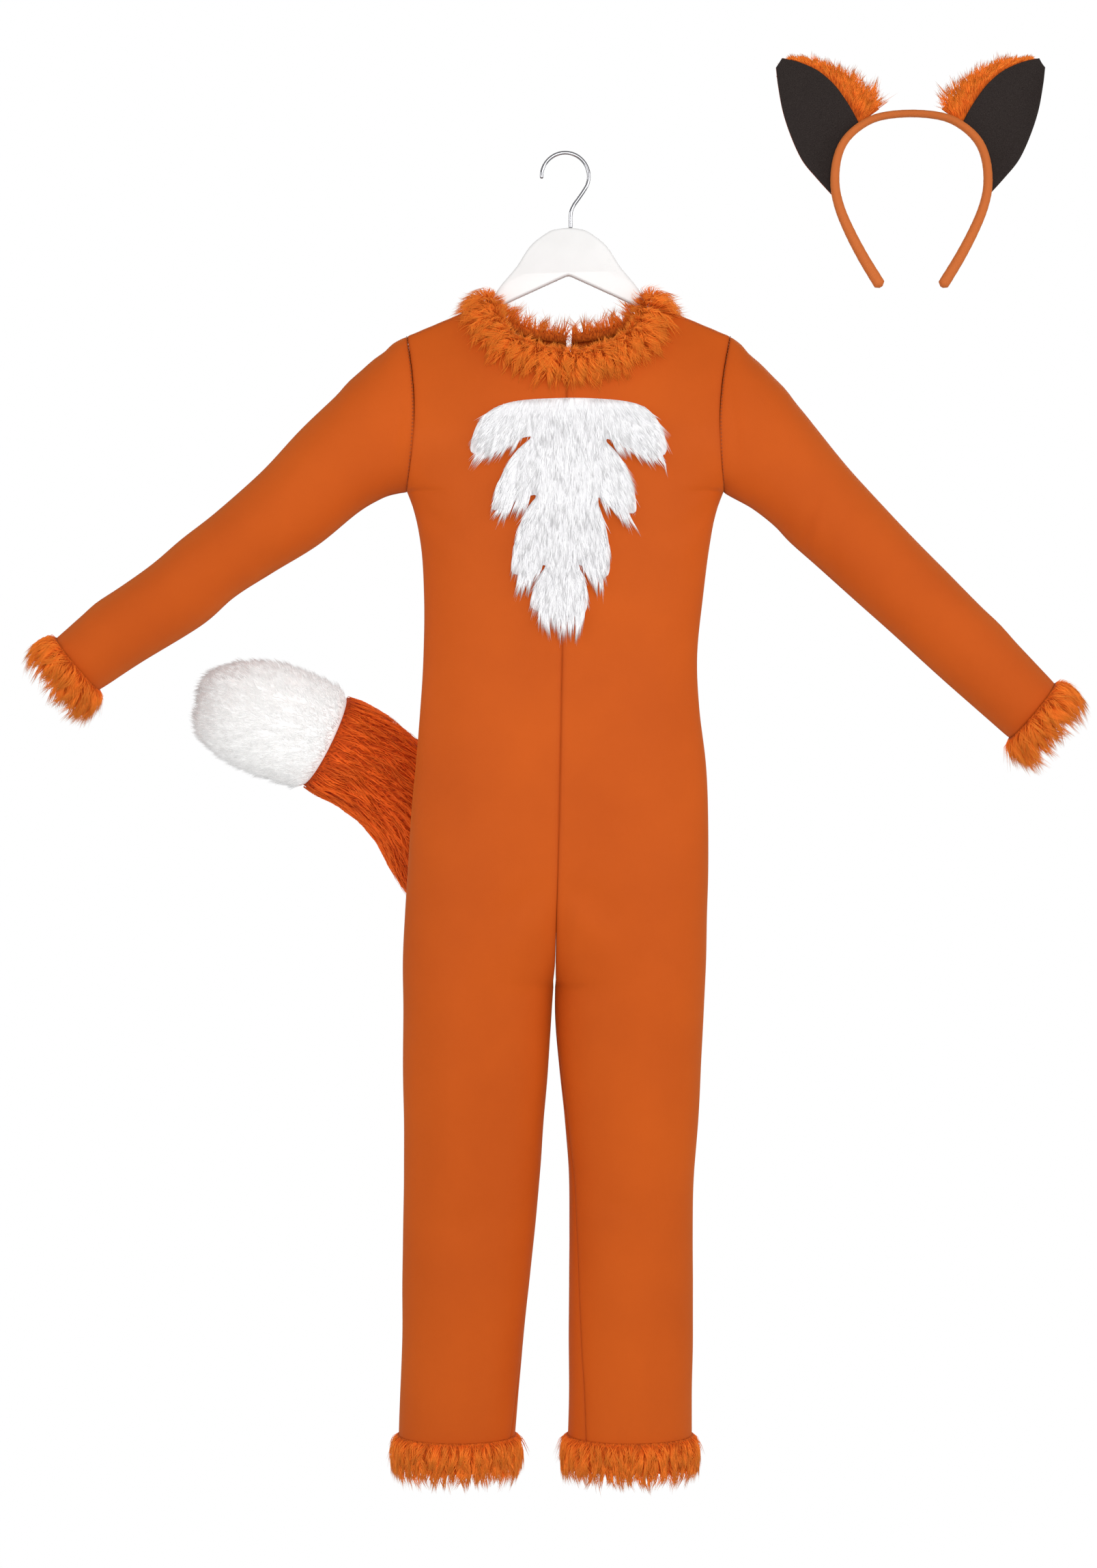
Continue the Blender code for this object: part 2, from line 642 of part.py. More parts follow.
def neck_path(count):
    """The neck seam in space from the middle of the back round to it again, evenly spaced, with
    the cloth's normal at each point."""
    turn = np.linspace(0, np.pi / 2, 120)
    pieces = []
    for face, side, order in ((BACK, RIGHT, 1), (FRONT, RIGHT, -1), (FRONT, LEFT, 1), (BACK, LEFT, -1)):
        x, drop = neck_point(turn[::order], face, side)
        pieces.append(np.concatenate([stand(x, face * yoke_depth(x, drop, face), drop),
                                      yoke_normal(x, drop, face)], axis=1)[: -1])
    line = np.concatenate(pieces)
    length = np.concatenate([[0], np.cumsum(np.linalg.norm(np.diff(line[:, :3], axis=0), axis=1))])
    at = np.linspace(NECK_BACK_GAP, length[-1] - NECK_BACK_GAP, count)
    even = np.stack([np.interp(at, length, line[:, k]) for k in range(6)], axis=1)
    for _ in range(2):
        even[1:-1, 3:] = (even[:-2, 3:] + 2 * even[1:-1, 3:] + even[2:, 3:]) / 4
    return even[:, :3], unit(even[:, 3:])


def neck_band():
    """The collar of fur over the neck seam, open at the middle of the back."""
    count = 2 * NECK_LOCKS + 1
    path, normal = neck_path(count)
    forward = unit(np.gradient(path, axis=0))
    normal = unit(normal - forward * np.sum(normal * forward, axis=1, keepdims=True))
    out = np.cross(forward, normal)
    out = out * np.sign(np.sum(out * (path - path.mean(axis=0)), axis=1, keepdims=True))
    index = np.arange(count)
    longer = np.where(index % 2 == 0, 0.5, -0.5)
    hanger_near = np.clip((17 - np.abs(path[:, 1])) / 8, 0, 1)
    rings = []
    for number, (over, height) in enumerate(NECK_PROFILE):
        over = np.full(count, float(over))
        height = np.full(count, float(height))
        if number <= 3:
            over += longer * (5, 4, 3, 0)[number]
            height += longer * (0, 1, 3, 3)[number]
        if 4 <= number <= 7:
            over = over * (1 - hanger_near) - 1.6 * hanger_near
            height = height * (1 - hanger_near) + (13, 8, 3, 1.2)[number - 4] * hanger_near
        rings.append(path + out * over[:, None] + normal * height[:, None])
    ring_solid("neck_fur", np.stack(rings, axis=1), "rust_fur", closed_path=False)


# Chest patch


def inside(point, outline):
    """Whether a point lies inside an outline, by counting the edges to its right."""
    x, y = point
    ends = np.roll(outline, -1, axis=0)
    crosses = (outline[:, 1] > y) != (ends[:, 1] > y)
    rise = np.where(crosses, ends[:, 1] - outline[:, 1], 1)
    at = outline[:, 0] + (y - outline[:, 1]) / rise * (ends[:, 0] - outline[:, 0])
    return np.sum(crosses & (at > x)) % 2 == 1


def chest_patch():
    """The white fur patch, made from the front's own points moved out."""
    outline = np.array(PATCH_OUTLINE, float)
    ends = np.roll(outline, -1, axis=0)
    points = [Vector(p) for p in outline]
    for row, drop in enumerate(np.arange(230.0, 455.0, PATCH_SPACING * 0.87)):
        for x in np.arange(-96.0 + PATCH_SPACING / 2 * (row % 2), 98.0, PATCH_SPACING):
            along = np.clip(np.sum((np.array((x, drop)) - outline) * (ends - outline), axis=1)
                            / np.sum((ends - outline) ** 2, axis=1), 0, 1)[:, None]
            away = np.linalg.norm(outline + along * (ends - outline) - (x, drop), axis=1).min()
            if away > PATCH_SPACING * 0.45 and inside((x, drop), outline):
                points.append(Vector((x, drop)))
    count = len(outline)
    edges = [(i, (i + 1) % count) for i in range(count)]
    filled = geometry.delaunay_2d_cdt(points, edges, [], 1, 1e-4)
    flat = np.array([tuple(p) for p in filled[0]])
    faces = [tuple(f) for f in filled[2]]
    x, drop = flat[:, 0] + middle(flat[:, 1], "right_inner") * 0, flat[:, 1]
    base = stand(x, torso_y(x, drop, FRONT), drop)
    normal = torso_normal(x, drop, FRONT)
    pile = np.where(np.arange(len(flat)) < count, PATCH_EDGE_THICKNESS, PATCH_THICKNESS)[:, None]
    below = base + normal * PATCH_LIFT
    above = base + normal * (PATCH_LIFT + pile)
    lower = len(flat)
    all_faces = faces + [tuple(n + lower for n in f[::-1]) for f in faces]
    all_faces += [(a, b, b + lower, a + lower) for a, b in edges]
    solid("chest_patch", np.concatenate([above, below]), all_faces, "white_fur")


# Zip


def zip_coil():
    """The closed zip in the gap between the two back panels."""
    drop = np.array((ZIP_TOP, 215, 240, 270, 312, 360, 411, 461, 500, ZIP_END))[:, None]
    across = np.array((-ZIP_HALF, 0, ZIP_HALF))[None]
    x = middle(drop, "right_inner") + across
    y = torso_y(x, drop, BACK)
    outer = stand(x, y + 0.3, drop + 0 * x)
    inner = stand(x, y - 1.3, drop + 0 * x)
    wall("zip_coil", outer, inner, "zip_coil")


def slider_frame():
    """An empty on the pull's hinge, leaning with the back."""
    drop = np.array(ZIP_SLIDER_DROP)
    x = middle(drop, "right_inner")
    low, high = (torso_y(x, drop + step, BACK) for step in (6, -6))
    lean = math.atan2(float(low - high), 12)
    normal = np.array((0, math.cos(lean), math.sin(lean)))
    seat = stand(x, torso_y(x, drop, BACK) + 0.3, drop) + normal * 0.35
    hinge = seat + normal * (SLIDER_SIZE[1] + BAIL_GAP / 2)
    frame = bpy.data.objects.new("pull_hinge", None)
    frame.location = Vector(hinge * MM)
    frame.rotation_euler = (lean, 0, 0)
    collection("fox_costume").objects.link(frame)
    bpy.context.view_layer.update()
    return frame


def child_of(obj, frame):
    """Places an object in the frame's own axes."""
    obj.parent = frame


def zip_slider(frame):
    """The slider's body with its bail, a staple that holds the pull."""
    bpy.ops.mesh.primitive_cube_add(size=1)
    body_block = bpy.context.active_object
    body_block.name = "zip_slider"
    body_block.data.transform(Matrix.Diagonal((*[s * MM for s in SLIDER_SIZE], 1)))
    body_block.data.transform(Matrix.Translation((0, -(SLIDER_SIZE[1] + BAIL_GAP) / 2 * MM, 0)))
    bevel = body_block.modifiers.new("bevel", "BEVEL")
    bevel.width = 1.0 * MM
    bevel.segments = 1
    for held in list(body_block.users_collection):
        held.objects.unlink(body_block)
    collection("fox_costume").objects.link(body_block)
    body_block.data.materials.append(material("chrome"))
    staple = bpy.data.curves.new("bail_line", "CURVE")
    staple.dimensions = "3D"
    staple.bevel_depth = BAIL_RADIUS * MM
    staple.bevel_resolution = 1
    staple.use_fill_caps = True
    line = staple.splines.new("POLY")
    near, far = -BAIL_GAP / 2 - 1.0, BAIL_GAP / 2 + BAIL_RADIUS
    corners = ((near, BAIL_HALF), (far - 0.8, BAIL_HALF), (far, BAIL_HALF - 0.8),
               (far, 0.8 - BAIL_HALF), (far - 0.8, -BAIL_HALF), (near, -BAIL_HALF))
    line.points.add(len(corners) - 1)
    for point, (y, z) in zip(line.points, corners):
        point.co = (0, y * MM, z * MM, 1)
    bail = mesh_of_curve("bail", staple)
    join = body_block.modifiers.new("bail", "BOOLEAN")
    join.operation = "UNION"
    join.object = bail
    child_of(body_block, frame)
    child_of(bail, frame)


def mesh_of_curve(name, curve):
    """A curve's tube as a welded mesh among the cutters."""
    holder = bpy.data.objects.new(name + "_curve", curve)
    collection("cutters").objects.link(holder)
    bpy.context.view_layer.update()
    graph = bpy.context.evaluated_depsgraph_get()
    mesh = bpy.data.meshes.new_from_object(holder.evaluated_get(graph))
    work = bmesh.new()
    work.from_mesh(mesh)
    bmesh.ops.remove_doubles(work, verts=work.verts, dist=1e-6)
    bmesh.ops.recalc_face_normals(work, faces=work.faces)
    work.to_mesh(mesh)
    work.free()
    bpy.data.objects.remove(holder)
    made = bpy.data.objects.new(name, mesh)
    made.hide_render = True
    made.display_type = "WIRE"
    collection("cutters").objects.link(made)
    return made


def flat_outline(name, loops, thickness, material_name):
    """A flat piece from closed outlines, the first outside and the others holes, in its own plane."""
    curve = bpy.data.curves.new(name, "CURVE")
    curve.dimensions = "2D"
    curve.fill_mode = "BOTH"
    curve.extrude = thickness / 2 * MM
    for loop in loops:
        line = curve.splines.new("POLY")
        line.points.add(len(loop) - 1)
        for point, (across, up) in zip(line.points, loop):
            point.co = (across * MM, up * MM, 0, 1)
        line.use_cyclic_u = True
    return add_object(name, curve, material_name)


def zip_pull(frame):
    """The pull tab, a plate with a bar across its top that turns in the bail."""
    half, top = PULL_HALF, PULL_BAR / 2
    corner = 1.6
    tab = [(-1.9, top), (1.9, top), (2.2, -5), (half, -9), (half, corner - PULL_LENGTH),
           (half - corner, -PULL_LENGTH), (corner - half, -PULL_LENGTH), (-half, corner - PULL_LENGTH),
           (-half, -9), (-2.2, -5)]
    hole_low = -PULL_BAR / 2 - PULL_HOLE_LENGTH
    hole = [(-1.1, -top), (-1.1, hole_low), (1.1, hole_low), (1.1, -top)]
    pull = flat_outline("zip_pull", (tab, hole), PULL_THICK, "chrome")
    pull.rotation_euler = (math.pi / 2, 0, 0)
    child_of(pull, frame)


# Tail


def tail():
    """The stuffed tail, rings round a smooth middle line, parted at the seam of its white tip."""
    line = table(TAIL_COLUMNS, TAIL)
    knots = np.arange(len(TAIL), dtype=float)
    at = np.linspace(0, knots[-1], 2 * len(TAIL) - 1)
    centre = stand(smooth(at, knots, line["x"]), smooth(at, knots, line["y"]), smooth(at, knots, line["drop"]))
    radius = smooth(at, knots, line["radius"])[:, None, None]
    forward = unit(np.gradient(centre, axis=0))
    forward[0] = torso_normal(centre[0, 0], -centre[0, 2], BACK)
    level = unit(np.cross(forward, [0, 0, 1.0]))
    upright = np.cross(level, forward)
    angle = np.linspace(0, 2 * np.pi, 18, endpoint=False)[None, :, None]
    rings = centre[:, None] + radius * (level[:, None] * np.cos(angle) + upright[:, None] * np.sin(angle))
    seam = 2 * TAIL_SEAM_ROW
    ring_solid("tail_body", rings[: seam + 1], "tail_fur", closed_path=False)
    tip = rings[seam:].copy()
    tip[0] += forward[seam] * SEAM_GAP
    last = centre[-1] + (rings[-1] - centre[-1]) * 0.45 + forward[-1] * TAIL_TIP_CAP
    ring_solid("tail_tip", np.concatenate([tip, last[None]]), "white_fur", closed_path=False)


# Hanger


def hanger_outline():
    """The hanger's flat outline about its middle, top edge first. Its arms lie 0.4 mm under the
    cloth of the shoulders."""
    def arm_top(away):
        return NECK_DROP + SHOULDER_SLOPE * (away - NECK_HALF) + (WALL + HANGER_CLEARANCE) * math.hypot(1, SHOULDER_SLOPE)

    end = HANGER_ARM_END
    arm = [(75, arm_top(75)), (end - 5, arm_top(end - 5)), (end, arm_top(end) + 4),
           (end, arm_top(end) + HANGER_ARM_THICKNESS - 4), (end - 5, arm_top(end) + HANGER_ARM_THICKNESS - 3),
           (84, arm_top(84) + HANGER_ARM_THICKNESS)]
    half = [*HANGER_TOP, *arm, *HANGER_VEE]
    other = [(-x, drop) for x, drop in half[1:-1]]
    return [(x, -drop) for x, drop in [*half, *other[::-1]]]


def hanger():
    board = flat_outline("hanger_body", (hanger_outline(),), HANGER_THICKNESS, "white_lacquer")
    weld = board.modifiers.new("weld", "WELD")
    weld.merge_threshold = 1e-5
    bevel = board.modifiers.new("bevel", "BEVEL")
    bevel.width = HANGER_BEVEL * MM
    bevel.segments = 2
    bevel.limit_method = "ANGLE"
    bevel.angle_limit = math.radians(60)
    board.rotation_euler = (math.pi / 2, 0, 0)
    board.location = (SHOULDER_X * MM, 0, 0)


def hook():
    """The chrome hook: a straight shank, a bend and most of a circle."""
    wire = bpy.data.curves.new("hanger_hook", "CURVE")
    wire.dimensions = "3D"
    wire.bevel_depth = HOOK_WIRE * MM
    wire.bevel_resolution = 2
    wire.use_fill_caps = True
    centre_drop = HOOK_RADIUS - HOOK_WIRE
    route = [(SHANK_X, HANGER_TOP[0][1] - 0.4), (SHANK_X, 58), (SHANK_X + 0.4, 53), (SHANK_X + 2.6, 47.5),
             (SHANK_X + 7, 41)]
    for degrees in range(HOOK_ARC[0], HOOK_ARC[1], 14):
        turn = math.radians(degrees)
        route.append((HOOK_RADIUS * math.cos(turn), centre_drop - HOOK_RADIUS * math.sin(turn)))
    line = wire.splines.new("POLY")
    line.points.add(len(route) - 1)
    for point, (x, drop) in zip(line.points, route):
        point.co = (x * MM, 0, -drop * MM, 1)
    add_object("hanger_hook", wire, "chrome")


# Headband


def band_line():
    """The band's middle line from one foot over the top to the other, and how far each of its
    points is from the top, as a share. The last points are close together for the rounded feet."""
    half = table(BAND_COLUMNS, BAND)
    away = np.concatenate([-half["away"], half["away"][-2::-1]])
    drop = np.concatenate([half["drop"], half["drop"][-2::-1]])
    knots = np.arange(len(away), dtype=float)
    foot = np.array([0, 0.12])
    at = np.concatenate([foot, np.linspace(0.4, knots[-1] - 0.4, 27), knots[-1] - foot[::-1]])
    line = stand(BAND_MIDDLE_X + smooth(at, knots, away), 0.0, smooth(at, knots, drop))
    return line, np.abs(at / knots[-1] * 2 - 1)


def headband():
    """The cloth-covered band, a rounded strip bent into a horseshoe, broader in front at its feet."""
    line, from_top = band_line()
    forward = unit(np.gradient(line, axis=0))
    out = np.cross(forward, [0, 1.0, 0])
    half_width = BAND_WIDTH / 2
    half_thick = (BAND_TOP_THICKNESS + (BAND_FOOT_THICKNESS - BAND_TOP_THICKNESS) * from_top**1.3) / 2
    angle = np.linspace(0, 2 * np.pi, 8, endpoint=False) + np.pi / 8
    wide = signed_power(np.cos(angle), 0.7) * half_width
    thick = signed_power(np.sin(angle), 0.8) * half_thick[:, None]
    narrow = np.ones(len(line))
    narrow[[0, -1]] = 0.6
    narrow[[1, -2]] = 0.92
    rings = line[:, None] + narrow[:, None, None] * (
        np.array([0, 1.0, 0]) * wide[None, :, None] + out[:, None] * thick[:, :, None]
    )
    ring_solid("headband", rings, "copper_knit", closed_path=False)


def ear_grid(side, reach=0.0, rows=8):
    """An ear as a grid from the band to the tip. Its base is flat and bowed to follow the band, and
    it is cupped backwards further up. A reach adds two columns past the inner edge, where the fur
    panel shows above the black one."""
    edges = table(EAR_COLUMNS, EAR)
    knots = np.linspace(0, 1, len(EAR))
    along = np.linspace(0, 1, rows)
    inner = stand(smooth(along, knots, edges["inner_away"]), 0.0, smooth(along, knots, edges["inner_drop"]))
    outer = stand(smooth(along, knots, edges["outer_away"]), 0.0, smooth(along, knots, edges["outer_drop"]))
    width = np.linalg.norm(outer - inner, axis=1)[:, None]
    share = np.linspace(0, 1, 6)[None]
    past = np.array([[-1.0, -0.5]] if reach else np.zeros((1, 0)))
    place = np.concatenate([past * reach * (1 - along)[:, None], share * width], axis=1)
    across = unit(outer - inner)[:, None]
    grid = inner[:, None] + across * place[..., None]
    inward = np.clip(place / width, 0, 1)
    bow = EAR_BASE_BOW * np.sin(np.pi * inward) * (1 - along)[:, None] ** 3
    grid += np.cross(across, [0, 1.0, 0]) * bow[..., None]
    up = (1 - (1 - along) ** 2)[:, None]
    cup = EAR_CUP * np.sin(np.pi * inward) * np.minimum(width / 50, 1) * up
    grid[..., 1] += BAND_WIDTH / 2 + SEAM_GAP + cup
    grid[..., 0] = BAND_MIDDLE_X + side * grid[..., 0]
    return grid


def ear(side):
    """The black inside of the ear, and the fur panel behind it."""
    front = ear_grid(side)
    thick = np.array([0, EAR_FRONT_THICKNESS, 0])
    wall("ear_inside_" + side_name(side), front, front + thick, "black_felt")
    back = ear_grid(side, EAR_FUR_REACH) + thick + [0, EAR_PLY_GAP, 0]
    share = np.linspace(0, 1, back.shape[1])[None, :, None]
    pile = EAR_BACK_THICKNESS * (0.35 + 0.65 * np.sin(np.pi * share)) * np.array([0, 1.0, 0])
    wall("ear_fur_" + side_name(side), back, back + pile, "rust_fur")


def build():
    clear_scene()
    for face in (FRONT, BACK):
        for side in (RIGHT, LEFT):
            jumpsuit_panel(face, side)
    for side in (RIGHT, LEFT):
        sleeve(side)
        cuff_band(side)
        ankle_band(side)
        ear(side)
    neck_band()
    chest_patch()
    zip_coil()
    frame = slider_frame()
    zip_slider(frame)
    zip_pull(frame)
    tail()
    hanger()
    hook()
    headband()


build()
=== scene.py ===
import json
import math

import bpy
import numpy as np
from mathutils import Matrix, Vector, geometry

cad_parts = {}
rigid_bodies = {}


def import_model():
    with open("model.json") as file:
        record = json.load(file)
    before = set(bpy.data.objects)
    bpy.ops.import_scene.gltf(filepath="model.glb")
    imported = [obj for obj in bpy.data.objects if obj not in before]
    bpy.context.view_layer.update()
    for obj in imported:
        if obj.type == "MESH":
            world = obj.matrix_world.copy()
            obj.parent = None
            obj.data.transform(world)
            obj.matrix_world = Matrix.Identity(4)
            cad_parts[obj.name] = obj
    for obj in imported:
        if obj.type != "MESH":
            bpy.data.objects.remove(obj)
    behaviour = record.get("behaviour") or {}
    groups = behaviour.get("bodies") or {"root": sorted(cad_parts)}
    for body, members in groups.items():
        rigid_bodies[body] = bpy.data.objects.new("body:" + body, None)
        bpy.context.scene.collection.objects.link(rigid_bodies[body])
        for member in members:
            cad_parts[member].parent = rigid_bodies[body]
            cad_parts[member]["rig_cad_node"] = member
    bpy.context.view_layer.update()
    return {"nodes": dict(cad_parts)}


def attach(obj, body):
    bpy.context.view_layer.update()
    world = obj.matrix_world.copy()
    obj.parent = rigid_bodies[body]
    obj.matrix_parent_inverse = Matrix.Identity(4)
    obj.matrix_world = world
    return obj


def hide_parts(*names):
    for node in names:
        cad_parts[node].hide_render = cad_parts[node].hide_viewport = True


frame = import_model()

# A fox costume on its hanger, with its ear headband. Lengths here are in millimetres, the wearer's
# right is at -x, and a drop is the distance below the hook's inside, where the origin is.
right, left = -1, 1
front, back = -1, 1
toBack, toTop = np.array([0, 1.0, 0]), np.array([0, 0, 1.0])


# Arrays

def unit(vectors):  # each vector divided by its length
    return vectors / np.maximum(np.linalg.norm(vectors, axis=-1, keepdims=True), 1e-12)


def stand(x, y, drop):  # points from x, y and drop, where z is minus the drop
    return np.stack(np.broadcast_arrays(x, y, -np.asarray(drop, float)), axis=-1)


def columns(names, rows):  # a table as one array for each named column
    return dict(zip(names.split(), np.array(rows, float).T))


def smooth(at, knots, values):  # cubic through the knots, its slope at each knot that of the chord
    at = np.clip(np.asarray(at, float), knots[0], knots[-1])
    slopes = np.gradient(values, knots)
    i = np.clip(np.searchsorted(knots, at) - 1, 0, len(knots) - 2)
    span = knots[i + 1] - knots[i]
    t = (at - knots[i]) / span
    return ((1 + 2 * t) * (1 - t) ** 2 * values[i] + t * (1 - t) ** 2 * span * slopes[i]
            + t * t * (3 - 2 * t) * values[i + 1] + t * t * (t - 1) * span * slopes[i + 1])


def power(value, exponent):  # a power that keeps the sign
    return np.sign(value) * np.abs(value) ** exponent


def chance(key, seed):  # a number from 0 to 1 for each key, the same on every run
    mixed = np.sin(np.asarray(key, float) * 12.9898 + seed * 78.233) * 43758.5453
    return mixed - np.floor(mixed)


def uneven(x, y, size, seed):  # a sum of six waves of about one size, in scattered directions
    total = 0
    for k in range(6):
        turn, phase = chance(k, seed) * 2 * np.pi, chance(k, seed + 7) * 2 * np.pi
        wave = 2 * np.pi / (size * (0.7 + 0.8 * chance(k, seed + 3)))
        total = total + np.sin(wave * (x * np.cos(turn) + y * np.sin(turn)) + phase)
    return total / 6


def sideName(side):
    return "right" if side == right else "left"


def faceName(face):
    return "front" if face == front else "back"


def ringAngles(count):  # even angles, once round
    return np.linspace(0, 2 * np.pi, count, endpoint=False)


def closedLine(line):  # the line with its first point again at the end
    return np.concatenate([line, line[:1]])


def runLength(line):  # the length along the line up to each of its points
    return np.concatenate([[0], np.cumsum(np.linalg.norm(np.diff(line, axis=0), axis=1))])


def readLine(at, steps, values):  # vectors read off a line at lengths along it
    return np.stack([np.interp(at, steps, values[:, k]) for k in range(values.shape[1])], axis=-1)


def squareTo(vectors, axis, share=1):  # takes a share of what the vectors have along the axis away
    return vectors - axis * np.sum(vectors * axis, axis=-1, keepdims=True) * share


def cutCorners(points):  # each corner of a closed line gives way to two points a quarter of the way in
    after = np.roll(points, -1, axis=0)
    return np.stack([points * 0.75 + after * 0.25, points * 0.25 + after * 0.75], axis=1).reshape(-1, 2)


# Meshes

def makePiece(name, points, loops, sizes, material, slot, values=None, uv=None, body="costume"):
    # points in millimetres; the faces' corners one after another, and how many each face has
    mesh = bpy.data.meshes.new(name)
    mesh.vertices.add(len(points))
    mesh.vertices.foreach_set("co", (np.asarray(points, float) * 0.001).ravel())
    mesh.loops.add(len(loops))
    mesh.loops.foreach_set("vertex_index", np.asarray(loops, np.int32))
    mesh.polygons.add(len(sizes))
    mesh.polygons.foreach_set("loop_start", (np.cumsum(sizes) - sizes).astype(np.int32))
    mesh.update(calc_edges=True)
    mesh.validate()
    mesh.polygons.foreach_set("use_smooth", np.ones(len(mesh.polygons), bool))
    for key, value in (values or {}).items():
        mesh.attributes.new(key, "FLOAT", "POINT").data.foreach_set("value", np.asarray(value, np.float32))
    if uv is not None:
        layer = mesh.uv_layers.new(name="cloth")
        layer.data.foreach_set("uv", (uv[loops] * 0.001).astype(np.float32).ravel())
    mesh.materials.append(material)
    piece = bpy.data.objects.new(name, mesh)
    bpy.context.scene.collection.objects.link(piece)
    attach(piece, body)
    return piece


def quadStrip(numbers, closeAround, closeAlong=False):
    # the quads between neighbouring points of a grid of point numbers
    rows = closedLine(numbers) if closeAlong else numbers
    grid = np.concatenate([rows, rows[:, :1]], axis=1) if closeAround else rows
    return np.stack([grid[:-1, :-1], grid[:-1, 1:], grid[1:, 1:], grid[1:, :-1]], axis=-1).reshape(-1, 4)


def gridPiece(name, grid, material, slot, flip=False, closeAlong=False, **more):
    # a closed surface from rings of points; each open end gets one many-sided cap
    numbers = np.arange(grid.shape[0] * grid.shape[1]).reshape(grid.shape[:2])
    quads = quadStrip(numbers, True, closeAlong)
    caps = [] if closeAlong else [numbers[0][::-1], numbers[-1]]
    if flip:
        quads = quads[:, ::-1]
        caps = [cap[::-1] for cap in caps]
    loops = np.concatenate([quads.ravel(), *caps])
    sizes = np.concatenate([np.full(len(quads), 4), [len(cap) for cap in caps]]).astype(int)
    return makePiece(name, grid.reshape(-1, 3), loops, sizes, material, slot, **more)


def wallPiece(name, outer, inner, material, slot, tube=False, values=None, uv=None):
    # a cloth wall: the outer grid, the inner grid turned about, and the strips that join their borders
    rows, cols = outer.shape[:2]
    top = np.arange(rows * cols).reshape(rows, cols)
    low = top + rows * cols
    parts = [quadStrip(top, tube), quadStrip(low, tube)[:, ::-1]]
    borders = [(low[0], top[0]), (top[-1], low[-1])]
    if not tube:
        borders += [(top[:, 0], low[:, 0]), (low[:, -1], top[:, -1])]
    for a, b in borders:
        if tube:
            a, b = closedLine(a), closedLine(b)
        parts.append(np.stack([a[:-1], a[1:], b[1:], b[:-1]], axis=-1))
    quads = np.concatenate(parts)
    points = np.concatenate([outer.reshape(-1, 3), inner.reshape(-1, 3)])
    first = quads[0]
    normal = np.cross(points[first[1]] - points[first[0]], points[first[2]] - points[first[1]])
    if np.dot(normal, outer[0, 0] - inner[0, 0]) < 0:
        quads = quads[:, ::-1]
    twice = {key: np.concatenate([value.ravel()] * 2) for key, value in (values or {}).items()}
    if uv is not None:
        uv = np.concatenate([uv.reshape(-1, 2)] * 2)
    return makePiece(name, points, quads.ravel(), np.full(len(quads), 4), material, slot, twice, uv)


# Materials

def newGroup(name, inputs, outputs):
    # a colour has four numbers and a vector three; of the outputs, only Color is a colour
    kinds = {4: "NodeSocketColor", 3: "NodeSocketVector", 1: "NodeSocketFloat"}
    group = bpy.data.node_groups.new(name, "ShaderNodeTree")
    for key, value in inputs.items():
        kind = kinds[np.size(value)]
        group.interface.new_socket(key, in_out="INPUT", socket_type=kind).default_value = value
    for key in outputs:
        group.interface.new_socket(key, in_out="OUTPUT", socket_type=kinds[4 if key == "Color" else 1])
    return group, group.nodes.new("NodeGroupInput").outputs, group.nodes.new("NodeGroupOutput").inputs


def putIn(tree, socket, value):  # links another node's socket, or sets a plain value
    if isinstance(value, bpy.types.NodeSocket):
        tree.links.new(value, socket)
    else:
        socket.default_value = value


def addNode(tree, kind, inputs=None, **settings):
    node = tree.nodes.new("ShaderNode" + kind)
    for key, value in settings.items():
        setattr(node, key, value)
    for key, value in (inputs or {}).items():
        putIn(tree, node.inputs[key], value)
    return node


def attribute(tree, name):
    return addNode(tree, "Attribute", attribute_name=name).outputs["Fac"]


def mixColour(tree, factor, first, second):
    return addNode(tree, "Mix", {0: factor, 6: first, 7: second}, data_type="RGBA").outputs[2]


def mathOf(tree, operation, first, second):
    return addNode(tree, "Math", {0: first, 1: second}, operation=operation).outputs[0]


def noiseAt(tree, place, scale, detail):
    return addNode(tree, "TexNoise", {"Vector": place, "Scale": scale, "Detail": detail}).outputs["Fac"]


def rangeOf(tree, value, low=0.0, high=1.0, start=0.0, end=1.0, kind="LINEAR"):
    # start to end becomes low to high
    ends = {"Value": value, "From Min": start, "From Max": end, "To Min": low, "To Max": high}
    return addNode(tree, "MapRange", ends, interpolation_type=kind).outputs["Result"]


def furGroup():
    # a strand is dark at its root and lighter at its tip, which is painted shade for the strands shading each
    # other near the skin; each lock has its own tone
    group, given, result = newGroup("fur strands", {
        "Root": (0.2, 0.05, 0.01, 1), "Tip": (0.8, 0.3, 0.1, 1), "Spread": 0.5, "Root roughness": 0.8},
        ("Color", "Roughness"))
    along = attribute(group, "along")
    rise = rangeOf(group, along, end=0.9, kind="SMOOTHSTEP")
    colour = mixColour(group, rise, given["Root"], given["Tip"])
    centred = mathOf(group, "SUBTRACT", attribute(group, "tint"), 0.5)
    value = mathOf(group, "ADD", mathOf(group, "MULTIPLY", centred, given["Spread"]), 1.0)
    shaded = addNode(group, "HueSaturation", {"Value": value, "Color": colour})
    putIn(group, result["Color"], shaded.outputs["Color"])
    putIn(group, result["Roughness"], rangeOf(group, along, given["Root roughness"], 0.45))
    return group


